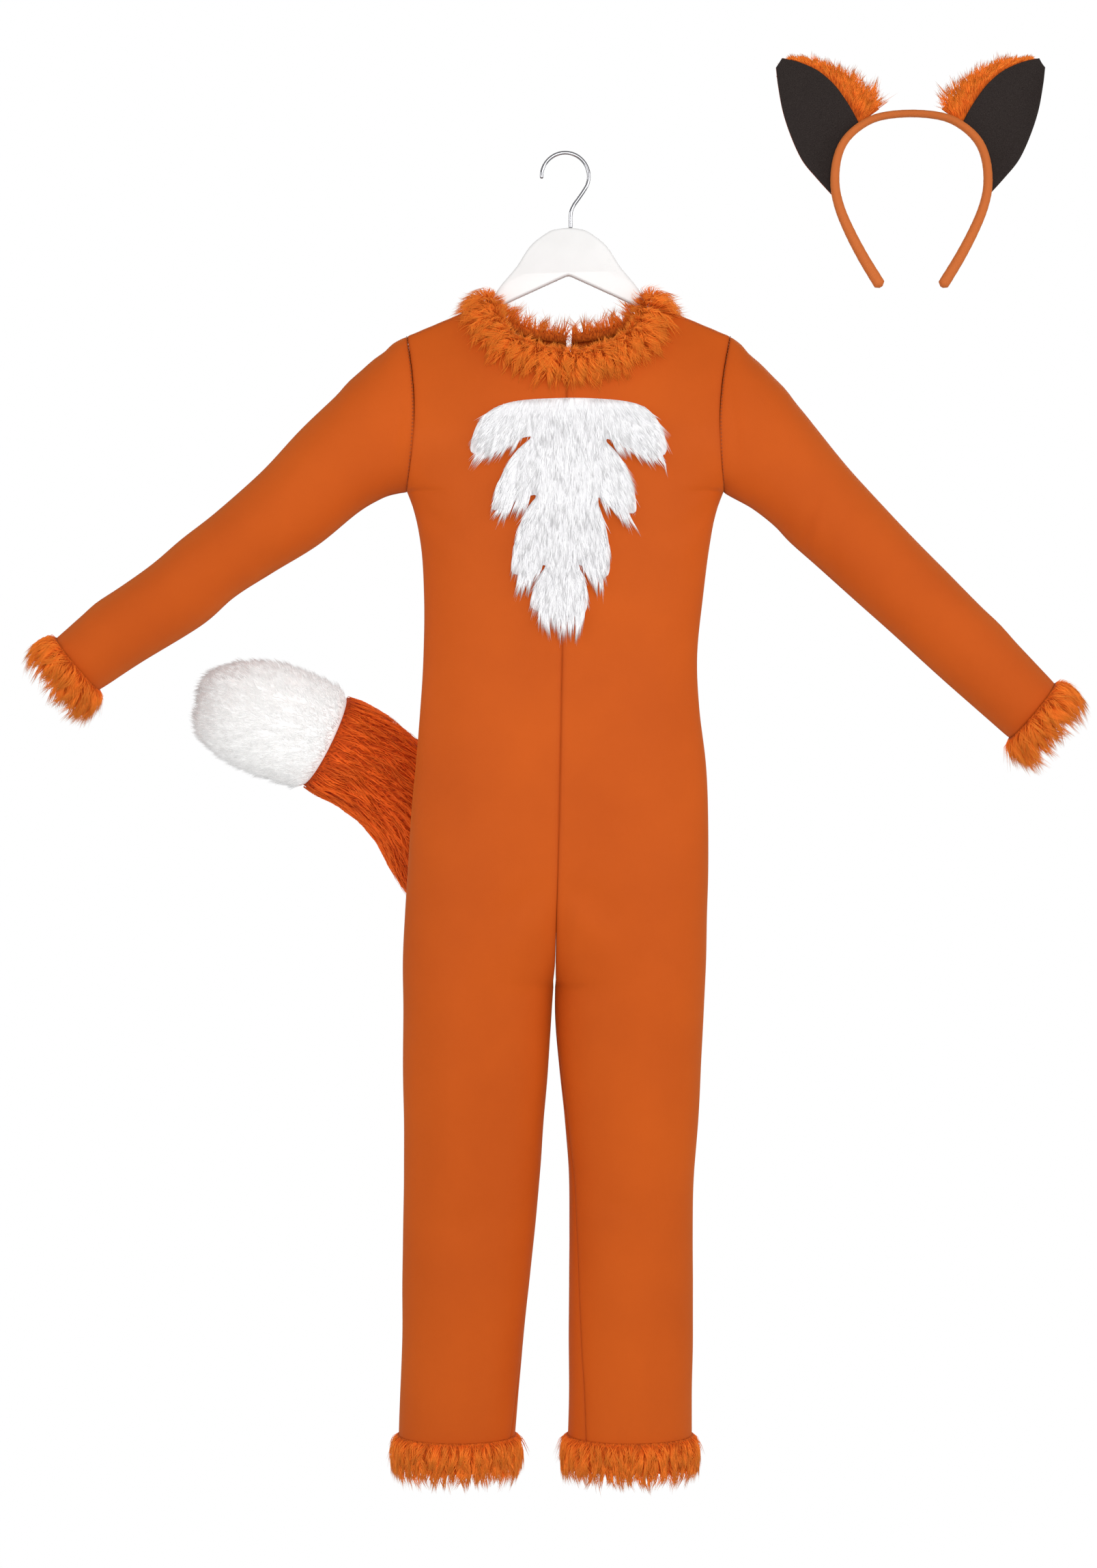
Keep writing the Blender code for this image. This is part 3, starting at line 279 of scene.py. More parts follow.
def underfurGroup():
    # the skin under the strands: noise drawn out along the pile, as a colour and a height
    group, given, result = newGroup("fur ground", {
        "Dark": (0.2, 0.05, 0.01, 1), "Light": (0.7, 0.2, 0.05, 1), "Scale": 900.0,
        "Stretch": (1.0, 1.0, 0.2)}, ("Color", "Height"))
    place = addNode(group, "TexCoord").outputs["Object"]
    drawn = addNode(group, "VectorMath", {0: place, 1: given["Stretch"]}, operation="MULTIPLY")
    noise = noiseAt(group, drawn.outputs[0], given["Scale"], 5.0)
    ramp = rangeOf(group, noise, start=0.35, end=0.68)
    putIn(group, result["Color"], mixColour(group, ramp, given["Dark"], given["Light"]))
    putIn(group, result["Height"], noise)
    return group


def clothGroup():
    # mottle on a large scale, fine knit ribs on the piece's own map, and painted shade along the seams, where
    # the cloth dips
    group, given, result = newGroup("knit cloth", {
        "Cloth": (0.6, 0.13, 0.014, 1), "Shade": (0.4, 0.07, 0.008, 1), "Mottle": 0.3, "Rib scale": 700.0},
        ("Color", "Height", "Roughness"))
    place = addNode(group, "TexCoord").outputs
    spread = rangeOf(group, noiseAt(group, place["Object"], 9.0, 3.0), start=0.3, end=0.7)
    fine = noiseAt(group, place["Object"], 1400.0, 2.0)
    mottle = mathOf(group, "MULTIPLY", spread, given["Mottle"])
    # painted shade in the seams' dip: up to 0.55 of the way to the shade colour
    seam = mathOf(group, "MULTIPLY", attribute(group, "seam"), 0.55)
    ribs = addNode(group, "TexWave", {"Vector": place["UV"], "Scale": given["Rib scale"], "Distortion": 0.6},
                   wave_type="BANDS", bands_direction="X", wave_profile="SIN")
    colour = mixColour(group, mottle, given["Cloth"], given["Shade"])
    putIn(group, result["Color"], mixColour(group, seam, colour, given["Shade"]))
    putIn(group, result["Height"], mathOf(group, "ADD", ribs.outputs["Fac"], fine))
    putIn(group, result["Roughness"], rangeOf(group, fine, 0.5, 0.68))
    return group


furNodes, groundNodes, clothNodes = furGroup(), underfurGroup(), clothGroup()


def newMaterial(name, **constants):
    material = bpy.data.materials.new(name)
    material.use_nodes = True
    shader = material.node_tree.nodes["Principled BSDF"]
    for key, value in constants.items():
        shader.inputs[key.replace("_", " ")].default_value = value
    return material, material.node_tree, shader


def finishMaterial(tree, shader, colour, roughness=None, height=None, depth=0.0, strength=1.0):
    # joins what changes over the surface to the shader, the height by way of a bump of the given depth
    putIn(tree, shader.inputs["Base Color"], colour)
    if roughness is not None:
        putIn(tree, shader.inputs["Roughness"], roughness)
    if height is not None:
        bump = addNode(tree, "Bump", {"Height": height, "Distance": depth, "Strength": strength})
        putIn(tree, shader.inputs["Normal"], bump.outputs["Normal"])


def strandMaterial(name, root, tip, spread, glow):
    # glow stands for the light that fur passes on from strand to strand
    root, tip = (*root, 1), (*tip, 1)
    material, tree, shader = newMaterial(name, Specular_IOR_Level=0.2, Emission_Color=tip,
                                         Emission_Strength=glow)
    fur = addNode(tree, "Group", {"Root": root, "Tip": tip, "Spread": spread}, node_tree=furNodes).outputs
    finishMaterial(tree, shader, fur["Color"], fur["Roughness"])
    return material


# glow is painted light: an emission in the ground's light colour that brightens it
def groundMaterial(name, dark, light, scale=900.0, stretch=(1, 1, 0.2), depth=0.0006, glow=0.0):
    dark, light = (*dark, 1), (*light, 1)
    material, tree, shader = newMaterial(
        name, Roughness=0.85, Sheen_Weight=0.2, Sheen_Tint=light, Specular_IOR_Level=0.15,
        Emission_Color=light, Emission_Strength=glow)
    skin = addNode(tree, "Group", {"Dark": dark, "Light": light, "Scale": scale, "Stretch": stretch},
                   node_tree=groundNodes).outputs
    finishMaterial(tree, shader, skin["Color"], height=skin["Height"], depth=depth)
    return material


def clothMaterial(name, cloth, shade, ribs):
    material, tree, shader = newMaterial(name, Sheen_Weight=0.3, Sheen_Roughness=0.4,
                                         Sheen_Tint=(1.0, 0.40, 0.08, 1), Specular_IOR_Level=0.12)
    knit = addNode(tree, "Group", {"Cloth": (*cloth, 1), "Shade": (*shade, 1), "Rib scale": ribs},
                   node_tree=clothNodes).outputs
    finishMaterial(tree, shader, knit["Color"], knit["Roughness"], knit["Height"], 0.00012, 0.6)
    return material


def speckMaterial(name, colour, darker, roughness, metallic=0.0, scale=60.0, **more):
    # a hard finish: broad faint mottle, roughness that varies with it, and a fine orange peel
    material, tree, shader = newMaterial(name, Metallic=metallic, **more)
    place = addNode(tree, "TexCoord").outputs["Object"]
    broad = noiseAt(tree, place, scale, 4.0)
    finishMaterial(tree, shader, mixColour(tree, broad, (*darker, 1), (*colour, 1)),
                   rangeOf(tree, broad, roughness * 0.7, roughness * 1.25),
                   noiseAt(tree, place, 900.0, 2.0), 0.00004, 0.5)
    return material


finish = {
    "cloth": clothMaterial("copper knit", (0.64, 0.106, 0.008), (0.42, 0.055, 0.004), 700.0),
    "satin": clothMaterial("headband satin", (0.66, 0.17, 0.04), (0.52, 0.12, 0.024), 1500.0),
    "thread": speckMaterial("stitching thread", (0.42, 0.09, 0.012), (0.28, 0.05, 0.008), 0.6),
    # in the strand materials the root colour, darker than the tip's, is painted shade among the strands
    "orangeFur": strandMaterial("orange fur strands", (0.80, 0.12, 0.008), (0.98, 0.28, 0.030), 0.4, 0.08),
    "orangeGround": groundMaterial("orange fur ground", (0.34, 0.048, 0.004), (0.80, 0.15, 0.012)),
    "tailFur": strandMaterial("rust fur strands", (0.60, 0.064, 0.005), (1.0, 0.19, 0.02), 0.5, 0.13),
    "tailGround": groundMaterial("rust fur ground", (0.32, 0.032, 0.003), (0.78, 0.10, 0.009),
                                 stretch=(0.3, 0.6, 0.8)),
    # the white strands and grounds glow with painted light
    "whiteFur": strandMaterial("white fur strands", (0.90, 0.895, 0.91), (0.96, 0.955, 0.965), 0.08, 0.12),
    "whiteGround": groundMaterial("white fur ground", (0.86, 0.855, 0.87), (0.94, 0.935, 0.945),
                                  depth=0.0003, glow=0.1),
    "plushFur": strandMaterial("white plush strands", (0.90, 0.895, 0.89), (0.96, 0.955, 0.95), 0.05, 0.2),
    "plushGround": groundMaterial("white plush ground", (0.88, 0.875, 0.87), (0.95, 0.945, 0.94),
                                  depth=0.0001, glow=0.2),
    "felt": groundMaterial("black felt", (0.016, 0.011, 0.010), (0.040, 0.031, 0.028), 1800.0, (1, 1, 1),
                           0.0002),
    "lacquer": speckMaterial("white lacquer", (0.90, 0.89, 0.88), (0.84, 0.83, 0.82), 0.32, Coat_Weight=0.3),
    "chrome": speckMaterial("polished steel", (0.64, 0.64, 0.66), (0.38, 0.38, 0.40), 0.12, 1.0),
    "coil": speckMaterial("zip coil", (0.40, 0.085, 0.014), (0.26, 0.045, 0.008), 0.45),
}
print("materials made")

# The suit's form, the same as the solids'

suit = {
    "wall": 1.8, "seamGap": 0.04, "armholeGap": 0.3, "torsoRound": 2.3, "legRound": 2.1,
    "shoulderX": 3.0, "neckHalf": 79.0, "neckDrop": 138.0, "tipHalf": 149.0, "slope": 0.421,
    "ridge": 9.5, "ridgeFade": 60.0, "yokeHeight": 148.0, "yokePower": 1.6,
    "neckDepth": {front: 60.0, back: 34.0}, "armpitDrop": 312.0, "armpitX": 146.0, "armholeBow": 8.0,
    "armholeOpening": 60.0, "armholeShare": 0.85, "riseDrop": 600.0, "crotchDrop": 768.0, "hemDrop": 1182.0,
    "zipEnd": 536.0, "zipHalf": 3.6,
    "body": columns("drop right left front back", (
        (312, -146, 146, 50, 48), (322, -142, 142, 50.5, 48.5), (336, -138, 138, 51, 49),
        (360, -133.5, 133.5, 51, 49), (411, -130.5, 127, 50, 48), (461, -131, 122, 49, 47),
        (512, -134, 124, 51, 50), (562, -138, 130, 54, 55), (612, -142.5, 132, 56, 60),
        (663, -145.5, 132, 57, 62), (700, -148, 131, 56, 60), (745, -150, 130, 54, 56),
        (789, -149.5, 128, 52, 52), (839, -150, 125.5, 50, 50), (890, -149, 123, 48, 48),
        (940, -149, 119, 46.5, 46.5), (1041, -150.5, 118, 45, 45), (1091, -150.5, 118, 44.5, 44.5),
        (1142, -152.5, 117, 45, 45), (1190, -154, 117, 45, 45))),
    "middle": columns("drop right left rightTurn leftTurn", (
        (100, 3, 3, 0, 0), (190, 3, 3, 0, 0), (240, 0.5, 0.5, 0, 0), (312, 0, 0, 0, 0),
        (461, -3, -3, 0, 0), (641, -6.5, -6.5, 0, 0), (700, -8.2, -8.0, 0, 0), (745, -9.5, -9, 0, 0),
        (768, -10.6, -9.7, 0, 0), (789, -12.1, -9.7, 0, 0.05), (812, -13.6, -8.4, 0, 0.1),
        (839, -15.2, -5.8, 0, 0.14), (890, -19.5, -0.6, 0, 0.26), (940, -23, 3.2, 0, 0.38),
        (990, -27.6, 3.7, 0, 0.48), (1041, -33, 3.5, 0, 0.56), (1091, -38.5, 3, 0.08, 0.64),
        (1142, -43, 3.5, 0.25, 0.72), (1190, -47, 2, 0.42, 0.8))),
}


def bodyAt(drop, name):
    return smooth(drop, suit["body"]["drop"], suit["body"][name])


def middleAt(drop, name="right"):
    return smooth(drop, suit["middle"]["drop"], suit["middle"][name])


def partedAt(drop):  # 0 down to the rise, 1 from the crotch, a power of the share between
    return np.clip((drop - suit["riseDrop"]) / (suit["crotchDrop"] - suit["riseDrop"]), 0, 1) ** 1.5


def section(angle, drop, side):
    # a superellipse from the middle seam to the side: x by the cosine, y by the sine, each to a power
    parted = partedAt(drop)
    roundness = suit["torsoRound"] + (suit["legRound"] - suit["torsoRound"]) * parted
    inner = middleAt(drop, sideName(side))
    half = np.abs(bodyAt(drop, sideName(side)) - inner) / (1 + parted)
    depth = np.where(np.sin(angle) >= 0, bodyAt(drop, "front"), bodyAt(drop, "back"))
    x = inner + side * half * (parted - power(np.cos(angle), 2 / roundness))
    return stand(x, -depth * power(np.sin(angle), 2 / roundness), drop)


def shoulderDrop(x):
    return suit["neckDrop"] + suit["slope"] * (np.abs(x - suit["shoulderX"]) - suit["neckHalf"])


def armholePoint(up, side):  # a straight line from armpit to shoulder tip, bowed inwards by a sine
    tipX = suit["shoulderX"] + side * suit["tipHalf"]
    drop = suit["armpitDrop"] + up * (shoulderDrop(tipX) - suit["armpitDrop"])
    x = side * suit["armpitX"] + up * (tipX - side * suit["armpitX"])
    return x - side * suit["armholeBow"] * np.sin(np.pi * up), drop


def yokeDepth(x, drop, face):
    # the chest's depth times a rounded rise below the shoulder line; across, a superellipse that
    # opens into the armhole's share; a rounded ridge is added at the shoulder line itself
    side = np.where(x < middleAt(drop), right, left)
    below = np.maximum(drop - shoulderDrop(x), 0)
    depth = suit["body"][faceName(face)][0]
    bend = suit["yokePower"]
    rise = (1 - (1 - np.minimum(below / suit["yokeHeight"], 1)) ** bend) ** (1 / bend)
    opened = np.clip((suit["armpitDrop"] - drop) / suit["armholeOpening"], 0, 1)
    tipDrop = shoulderDrop(suit["shoulderX"] + suit["tipHalf"])
    up = np.clip((suit["armpitDrop"] - drop) / (suit["armpitDrop"] - tipDrop), 0, 1)
    edge = np.where(side == right, armholePoint(up, right)[0], armholePoint(up, left)[0])
    out = np.clip(np.abs((x - middleAt(drop)) / (edge - middleAt(drop))), 0, 1)
    near = out**6
    opened = opened**2 * (3 - 2 * opened) * (1 - near) + np.sqrt(1 - (1 - opened) ** 2) * near
    closedForm = (1 - out ** suit["torsoRound"]) ** (1 / suit["torsoRound"])
    openForm = 1 - (1 - suit["armholeShare"]) * out**2
    chest = depth * rise * ((1 - opened) * closedForm + opened * openForm)
    ridge = suit["ridge"] * np.sqrt(1 - (1 - np.minimum(below / suit["ridge"], 1)) ** 2)
    ridge = ridge * np.clip(1 - below / suit["ridgeFade"], 0, 1)
    return (chest**3 + ridge**3) ** (1 / 3)


def torsoY(x, drop, face):  # the y of the cloth at a point seen from the front
    centre = middleAt(drop)
    edge = np.where(x < centre, bodyAt(drop, "right"), bodyAt(drop, "left"))
    out = np.clip(np.abs((x - centre) / (edge - centre)), 0, 1)
    low = bodyAt(drop, faceName(face)) * (1 - out ** suit["torsoRound"]) ** (1 / suit["torsoRound"])
    return face * np.where(drop > suit["armpitDrop"], low, yokeDepth(x, drop, face))


def torsoNormal(x, drop, face, step=0.5):
    across = (torsoY(x + step, drop, face) - torsoY(x - step, drop, face)) / (2 * step)
    down = (torsoY(x, drop + step, face) - torsoY(x, drop - step, face)) / (2 * step)
    return unit(np.stack([-face * across, np.full_like(across, face), face * down], axis=-1))


def yokeNormal(x, drop, face, step=0.4):  # the slopes' normal, turned square to the shoulder line on it
    across = (yokeDepth(x + step, drop, face) - yokeDepth(x - step, drop, face)) / (2 * step)
    down = (yokeDepth(x, drop + step, face) - yokeDepth(x, drop - step, face)) / (2 * step)
    normals = unit(np.stack([-across, np.full_like(across, face), down], axis=-1))
    ridge = unit(stand(np.sign(x - suit["shoulderX"]) * suit["slope"], 0.0, -np.ones_like(x)))
    onRidge = np.clip(1 - (drop - shoulderDrop(x)), 0, 1)[..., None]
    return unit(normals * (1 - onRidge) + ridge * onRidge)


def neckPoint(turn, face, side):  # an elliptical neckline, from the middle (0) to the shoulder
    x = suit["shoulderX"] + side * suit["neckHalf"] * np.sin(turn)
    return x, suit["neckDrop"] + suit["neckDepth"][face] * np.cos(turn)


# Soft folds on the suit: from and to, as x and drop, then width, height and bow. A negative height
# is a trough. They fade out towards both ends.
foldColumns = "x0 drop0 x1 drop1 width height bow"
folds = {
    front: columns(foldColumns, (
        (-136, 322, -92, 352, 7, -1.6, 6), (-134, 336, -84, 376, 9, 1.0, 8),
        (-137, 306, -100, 322, 6, -1.0, 3), (135, 322, 94, 350, 7, -1.6, -6),
        (132, 338, 84, 374, 9, 1.0, -8), (137, 305, 102, 320, 6, -1.0, -3),
        (-112, 430, -96, 640, 15, -1.2, 8), (-52, 470, -62, 650, 17, 1.2, -6),
        (54, 480, 60, 640, 16, 1.1, 6), (104, 440, 100, 660, 14, -1.2, -6),
        (-10, 668, -66, 716, 8, -1.8, 5), (-12, 690, -52, 752, 9, 1.4, 4),
        (-8, 668, 52, 712, 8, -1.8, -5), (-6, 690, 44, 748, 9, 1.4, -4),
        (-22, 640, -26, 800, 9, 1.5, -3), (10, 640, 12, 800, 9, 1.5, 3),
        (-92, 760, -104, 980, 17, 1.4, 6), (-60, 800, -72, 1010, 13, -1.1, -6),
        (-128, 780, -126, 1000, 13, -1.1, 5), (-118, 985, -60, 960, 10, -1.1, 7),
        (-104, 1010, -104, 1160, 16, 1.2, -4), (-72, 1050, -78, 1170, 10, -1.0, 3),
        (66, 760, 62, 990, 17, 1.4, -6), (34, 800, 36, 1000, 12, -1.1, 5),
        (98, 800, 94, 1010, 12, -1.1, -5), (24, 962, 88, 984, 10, -1.1, -7),
        (60, 1015, 60, 1160, 16, 1.2, 4), (90, 1060, 88, 1172, 10, -1.0, 3))),
    back: columns(foldColumns, (
        (-132, 320, -88, 356, 8, -1.6, 6), (132, 320, 90, 356, 8, -1.6, -6),
        (-128, 345, -80, 390, 10, 1.0, 8), (128, 345, 82, 388, 10, 1.0, -8),
        (-60, 220, -46, 400, 18, 1.2, 8), (60, 222, 48, 396, 18, 1.2, -8),
        (-100, 430, -84, 600, 15, -1.2, 6), (98, 430, 88, 600, 15, -1.2, -6),
        (-20, 700, -90, 742, 9, -1.8, 6), (4, 702, 76, 740, 9, -1.8, -6),
        (-14, 720, -60, 790, 10, 1.4, 5), (0, 722, 48, 786, 10, 1.4, -5),
        (-96, 770, -100, 990, 17, 1.3, 5), (-62, 800, -74, 1000, 13, -1.1, -5),
        (64, 770, 62, 990, 17, 1.3, -5), (96, 800, 92, 1000, 13, -1.1, 5),
        (-112, 955, -62, 980, 9, -1.2, 6), (28, 985, 88, 958, 9, -1.2, 6),
        (-104, 1020, -102, 1165, 15, 1.1, 4), (60, 1020, 58, 1165, 15, 1.1, -4))),
}


def foldHeight(x, drop, table):
    # a bell across each fold's bowed line, times a half sine along it; all the folds are added up
    total = np.zeros(np.broadcast(x, drop).shape)
    for x0, drop0, x1, drop1, width, height, bow in zip(*table.values()):
        length = math.hypot(x1 - x0, drop1 - drop0)
        ax, ad = (x1 - x0) / length, (drop1 - drop0) / length
        t = ((x - x0) * ax + (drop - drop0) * ad) / length
        inside = np.clip(t, 0, 1)
        away = (drop - drop0) * ax - (x - x0) * ad - bow * 4 * inside * (1 - inside)
        total += height * np.exp(-((away / width) ** 2)) * np.sin(np.pi * inside) ** 0.8
    return total


def seamDistance(grid, tube=False):
    # the least length along the cloth from each point to the sewn borders of its grid; a panel's
    # first row is its hem, under the fur, and isn't sewn
    down = np.linalg.norm(np.diff(grid, axis=0), axis=2)
    down = np.concatenate([np.zeros((1, grid.shape[1])), np.cumsum(down, axis=0)])
    least = down[-1:] - down
    if tube:
        return np.minimum(least, down)
    across = np.linalg.norm(np.diff(grid, axis=1), axis=2)
    across = np.concatenate([np.zeros((grid.shape[0], 1)), np.cumsum(across, axis=1)], axis=1)
    return np.minimum(least, np.minimum(across, across[:, -1:] - across))


seams = {"edgeDip": 0.75, "edgeFade": 1.1, "dip": 0.35, "pucker": 0.14, "puckerLength": 6.5, "fade": 3.5,
         "shadeWidth": 1.6}


def softSeam(outer, normals, distance, along):
    # the cloth dips where it is sewn, steeply at the edge and gently beside it, with small puckers
    puckers = seams["dip"] + seams["pucker"] * np.sin(along * 2 * np.pi / seams["puckerLength"])
    steep = seams["edgeDip"] * np.exp(-distance / seams["edgeFade"])
    return outer - normals * (steep + puckers * np.exp(-distance / seams["fade"]))[..., None]


# painted shade: the cloth darkens in the dip along each seam
def seamShade(distance):  # the cloth group's seam value: 1 on a seam, fading beside it
    return {"seam": np.exp(-distance / seams["shadeWidth"])}


panel = {
    "flat": (0.2, 1.06),  # metres: the rectangle that each panel is cut from
    "neckShare": {front: 0.64, back: 0.76},  # how far up the middle seam ends and the neckline starts
    "freeEdge": 14.0, "swell": 0.45, "swellSize": 70.0, "smoothDrop": 190.0, "smoothLength": 60.0,
    "seamBack": 6.0, "zipEase": 4.0, "zipRoom": 30.0, "zipTopRows": 14,
}


def panelGrid(face, side):
    # rows from the hem up to the armpit, then from there to the shoulder line; each runs from the side
    # seam or armhole to the middle seam or neckline
    drops = np.concatenate([[1182, 1181, 1179, 1175], np.linspace(1169, 768, 56)[:-1],
                            np.linspace(768, 318, 64), [315, 313.5, 312]])[:, None]
    steps = np.concatenate([[0.01, 0.025, 0.05], np.linspace(0.08, 0.97, 38),
                            [0.98, 0.988, 0.994, 0.998, 1.0]])[:, None]
    share = np.concatenate([[0, 0.006, 0.014, 0.028], np.linspace(0.05, 0.95, 26),
                            [0.972, 0.985, 0.994, 1]])[None]
    turn = middleAt(drops, sideName(side) + "Turn")
    roundness = suit["torsoRound"] + (suit["legRound"] - suit["torsoRound"]) * partedAt(drops)
    end = np.arccos(partedAt(drops) ** (roundness / 2))
    end = end + turn if face == front else 2 * np.pi - end + turn
    angle = np.pi + (end - np.pi) * share
    low = section(angle, drops, side)
    around = section(angle + 0.01, drops, side) - section(angle - 0.01, drops, side)
    down = section(angle, drops + 0.5, side) - section(angle, drops - 0.5, side)
    lowNormals = unit(np.cross(around, down)) * -side
    neck = panel["neckShare"][face]
    outerX, outerDrop = armholePoint(steps, side)
    neckTurn = np.clip((steps - neck) / (1 - neck), 0, 1) * np.pi / 2
    neckX, neckDrop = neckPoint(neckTurn, face, side)
    neckLow = suit["neckDrop"] + suit["neckDepth"][face]
    seamDrop = suit["armpitDrop"] + (neckLow - suit["armpitDrop"]) * np.clip(steps / neck, 0, 1)
    innerX = np.where(steps <= neck, middleAt(seamDrop), neckX)
    innerDrop = np.where(steps <= neck, seamDrop, neckDrop)
    spread = np.abs(np.cos(np.pi / 2 * (2 - share))) ** (2 / suit["torsoRound"])
    x = outerX * spread + innerX * (1 - spread)
    drop = outerDrop * spread + innerDrop * (1 - spread)
    high = stand(x, face * yokeDepth(x, drop, face), drop)
    return np.concatenate([low, high]), np.concatenate([lowNormals, yokeNormal(x, drop, face)])


def shiftEdges(outer, inner, first, last, end):  # moves the wall's borders back from its seams
    for grid in (outer, inner):
        grid[:, 0] += unit(outer[:, 1] - outer[:, 0]) * first
        grid[:, -1] += unit(outer[:, -2] - outer[:, -1]) * last[:, None]
        grid[-1] += unit(outer[-2] - outer[-1]) * end


def buildPanel(face, side):
    name = faceName(face) + "_" + sideName(side)
    grid, normals = panelGrid(face, side)
    distance = seamDistance(grid)
    x, drop = grid[..., 0], -grid[..., 2]
    free = np.minimum(distance / panel["freeEdge"], 1) ** 1.5
    swell = panel["swell"] * uneven(x, drop * 0.6, panel["swellSize"], 5 + face)
    height = foldHeight(x, drop, folds[face]) + swell
    lower = np.clip((drop - panel["smoothDrop"]) / panel["smoothLength"], 0, 1)
    outer = grid + normals * (height * free * lower)[..., None]
    # beside the middle seam the wall dips straight back, so that the two panels' walls stay together
    middle = np.exp(-np.abs(x - middleAt(drop)) / panel["seamBack"])
    middle = middle * np.clip((suit["crotchDrop"] - drop) / 20, 0, 1)
    keep = np.stack([1 - middle, np.ones_like(middle), 1 - middle], axis=-1)
    backwards = unit(normals * keep + [0, face * 1e-3, 0])
    outer = softSeam(outer, backwards, distance, drop)
    inner = outer - backwards * suit["wall"]
    gap = np.full(len(outer), suit["seamGap"] / 2)
    if face == back:
        # above the zip's end the panel draws back to leave room for the coil
        parted = np.clip((suit["zipEnd"] + panel["zipEase"] - drop[:, -1]) / panel["zipEase"], 0, 1)
        parted = parted * (np.arange(len(outer)) < len(outer) - panel["zipTopRows"])
        gap = gap + parted * (suit["zipHalf"] + suit["seamGap"] / 2)
        for points in (outer, inner):
            room = np.clip(1 - np.abs(points[..., 0] - middleAt(drop)) / panel["zipRoom"], 0, 1)
            points[..., 0] += side * room * gap[:, None] * 0.999
        gap = np.zeros(len(outer))
    shiftEdges(outer, inner, suit["seamGap"] / 2, gap, suit["seamGap"] / 2)
    piece = wallPiece("cloth_" + name, outer, inner, finish["cloth"], "copper_knit",
                      values=seamShade(distance), uv=np.stack([x, -drop], axis=-1))
    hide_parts(name)


for face in (front, back):
    for side in (right, left):
        buildPanel(face, side)
print("suit panels made")

# Sleeves

sleeves = {
    "columns": "topX topDrop lowX lowDrop depth",
    right: (
        (-146, 167.5, -146, 312, 34), (-172, 183, -157, 313, 36), (-209.5, 221, -171, 318, 38),
        (-247, 257, -191, 330, 38.5), (-281.5, 294, -228, 360, 38), (-321.5, 329.5, -270.5, 386, 36),
        (-354, 355, -305, 408, 34.5), (-384.5, 380.5, -335.5, 434, 34), (-435.5, 417, -393, 469.5, 32),
        (-471, 447.5, -432, 495, 29.5)),
    left: (
        (152, 167.5, 146, 312, 34), (174, 185, 157, 318, 36), (211.5, 228, 173.5, 327, 38),
        (234, 256, 193, 342.5, 38.5), (262, 290, 208.5, 358.5, 38), (290.5, 321.5, 235.5, 382.5, 37),
        (325, 358, 273, 416, 36), (359.5, 392.5, 309.5, 448.5, 35), (404, 438, 354.5, 489.5, 33),
        (453, 489.5, 412, 540, 30)),
    # folds like the suit's, with the way round the sleeve for x and the length down it for the drop
    "folds": columns(foldColumns, (
        (-60, 10, 40, 60, 8, -1.8, 10), (-80, 40, 60, 95, 9, 1.3, 12), (20, 12, 100, 60, 8, -1.4, -8),
        (60, 170, 130, 205, 8, -1.7, 8), (70, 190, 140, 232, 8, 1.3, 6),
        (-120, 200, -60, 172, 9, -1.3, 7), (80, 225, 150, 255, 8, -1.5, 6),
        (-40, 90, -30, 330, 16, 1.2, 8), (30, 100, 36, 300, 14, -1.0, -8),
        (-90, 300, -20, 345, 9, -1.2, 6), (60, 330, 130, 370, 8, -1.3, 6),
        (-20, 360, 40, 405, 9, 1.0, 6))),
    "flat": (0.27, 0.44),  # metres: the rectangle that each sleeve is cut from
    "length": 440.0, "radius": 45.0, "blend": 0.22, "freeEdge": 16.0, "swell": 0.4, "swellSize": 90.0,
}


def sleeveSection(along, side):
    table = columns(sleeves["columns"], sleeves[side])
    knots = np.linspace(0, 1, len(table["topX"]))
    topX, topDrop, lowX, lowDrop, depth = (smooth(along, knots, value) for value in table.values())
    return stand(topX, 0.0, topDrop), stand(lowX, 0.0, lowDrop), depth


def sleevePoint(angle, along, side):
    # an ellipse between the section's top and bottom points; the armhole's own ring fades into it
    top, low, depth = sleeveSection(along, side)
    cosine, sine = np.cos(angle)[..., None], np.sin(angle)[..., None]
    tube = (top + low) / 2 + (top - low) / 2 * cosine - toBack * depth[..., None] * sine
    holeX, holeDrop = armholePoint((1 + np.cos(angle)) / 2, side)
    ahead, behind = -yokeDepth(holeX, holeDrop, front), yokeDepth(holeX, holeDrop, back)
    hole = stand(holeX, np.where(np.sin(angle) > 0, ahead, behind), holeDrop)
    fade = (np.clip(1 - along / sleeves["blend"], 0, 1) ** 2)[..., None]
    return tube * (1 - fade) + hole * fade


def sleeveNormal(angle, along, side, step=0.004):
    around = sleevePoint(angle + 0.02, along, side) - sleevePoint(angle - 0.02, along, side)
    after = sleevePoint(angle, np.minimum(along + step, 1), side)
    before = sleevePoint(angle, np.maximum(along - step, 0), side)
    normals = unit(np.cross(around, after - before))
    top, low, _ = sleeveSection(along, side)
    outwards = sleevePoint(angle, along, side) - (top + low) / 2
    turn = np.sign(np.sum(normals * outwards, axis=-1, keepdims=True))
    return normals * np.where(turn == 0, 1, turn)


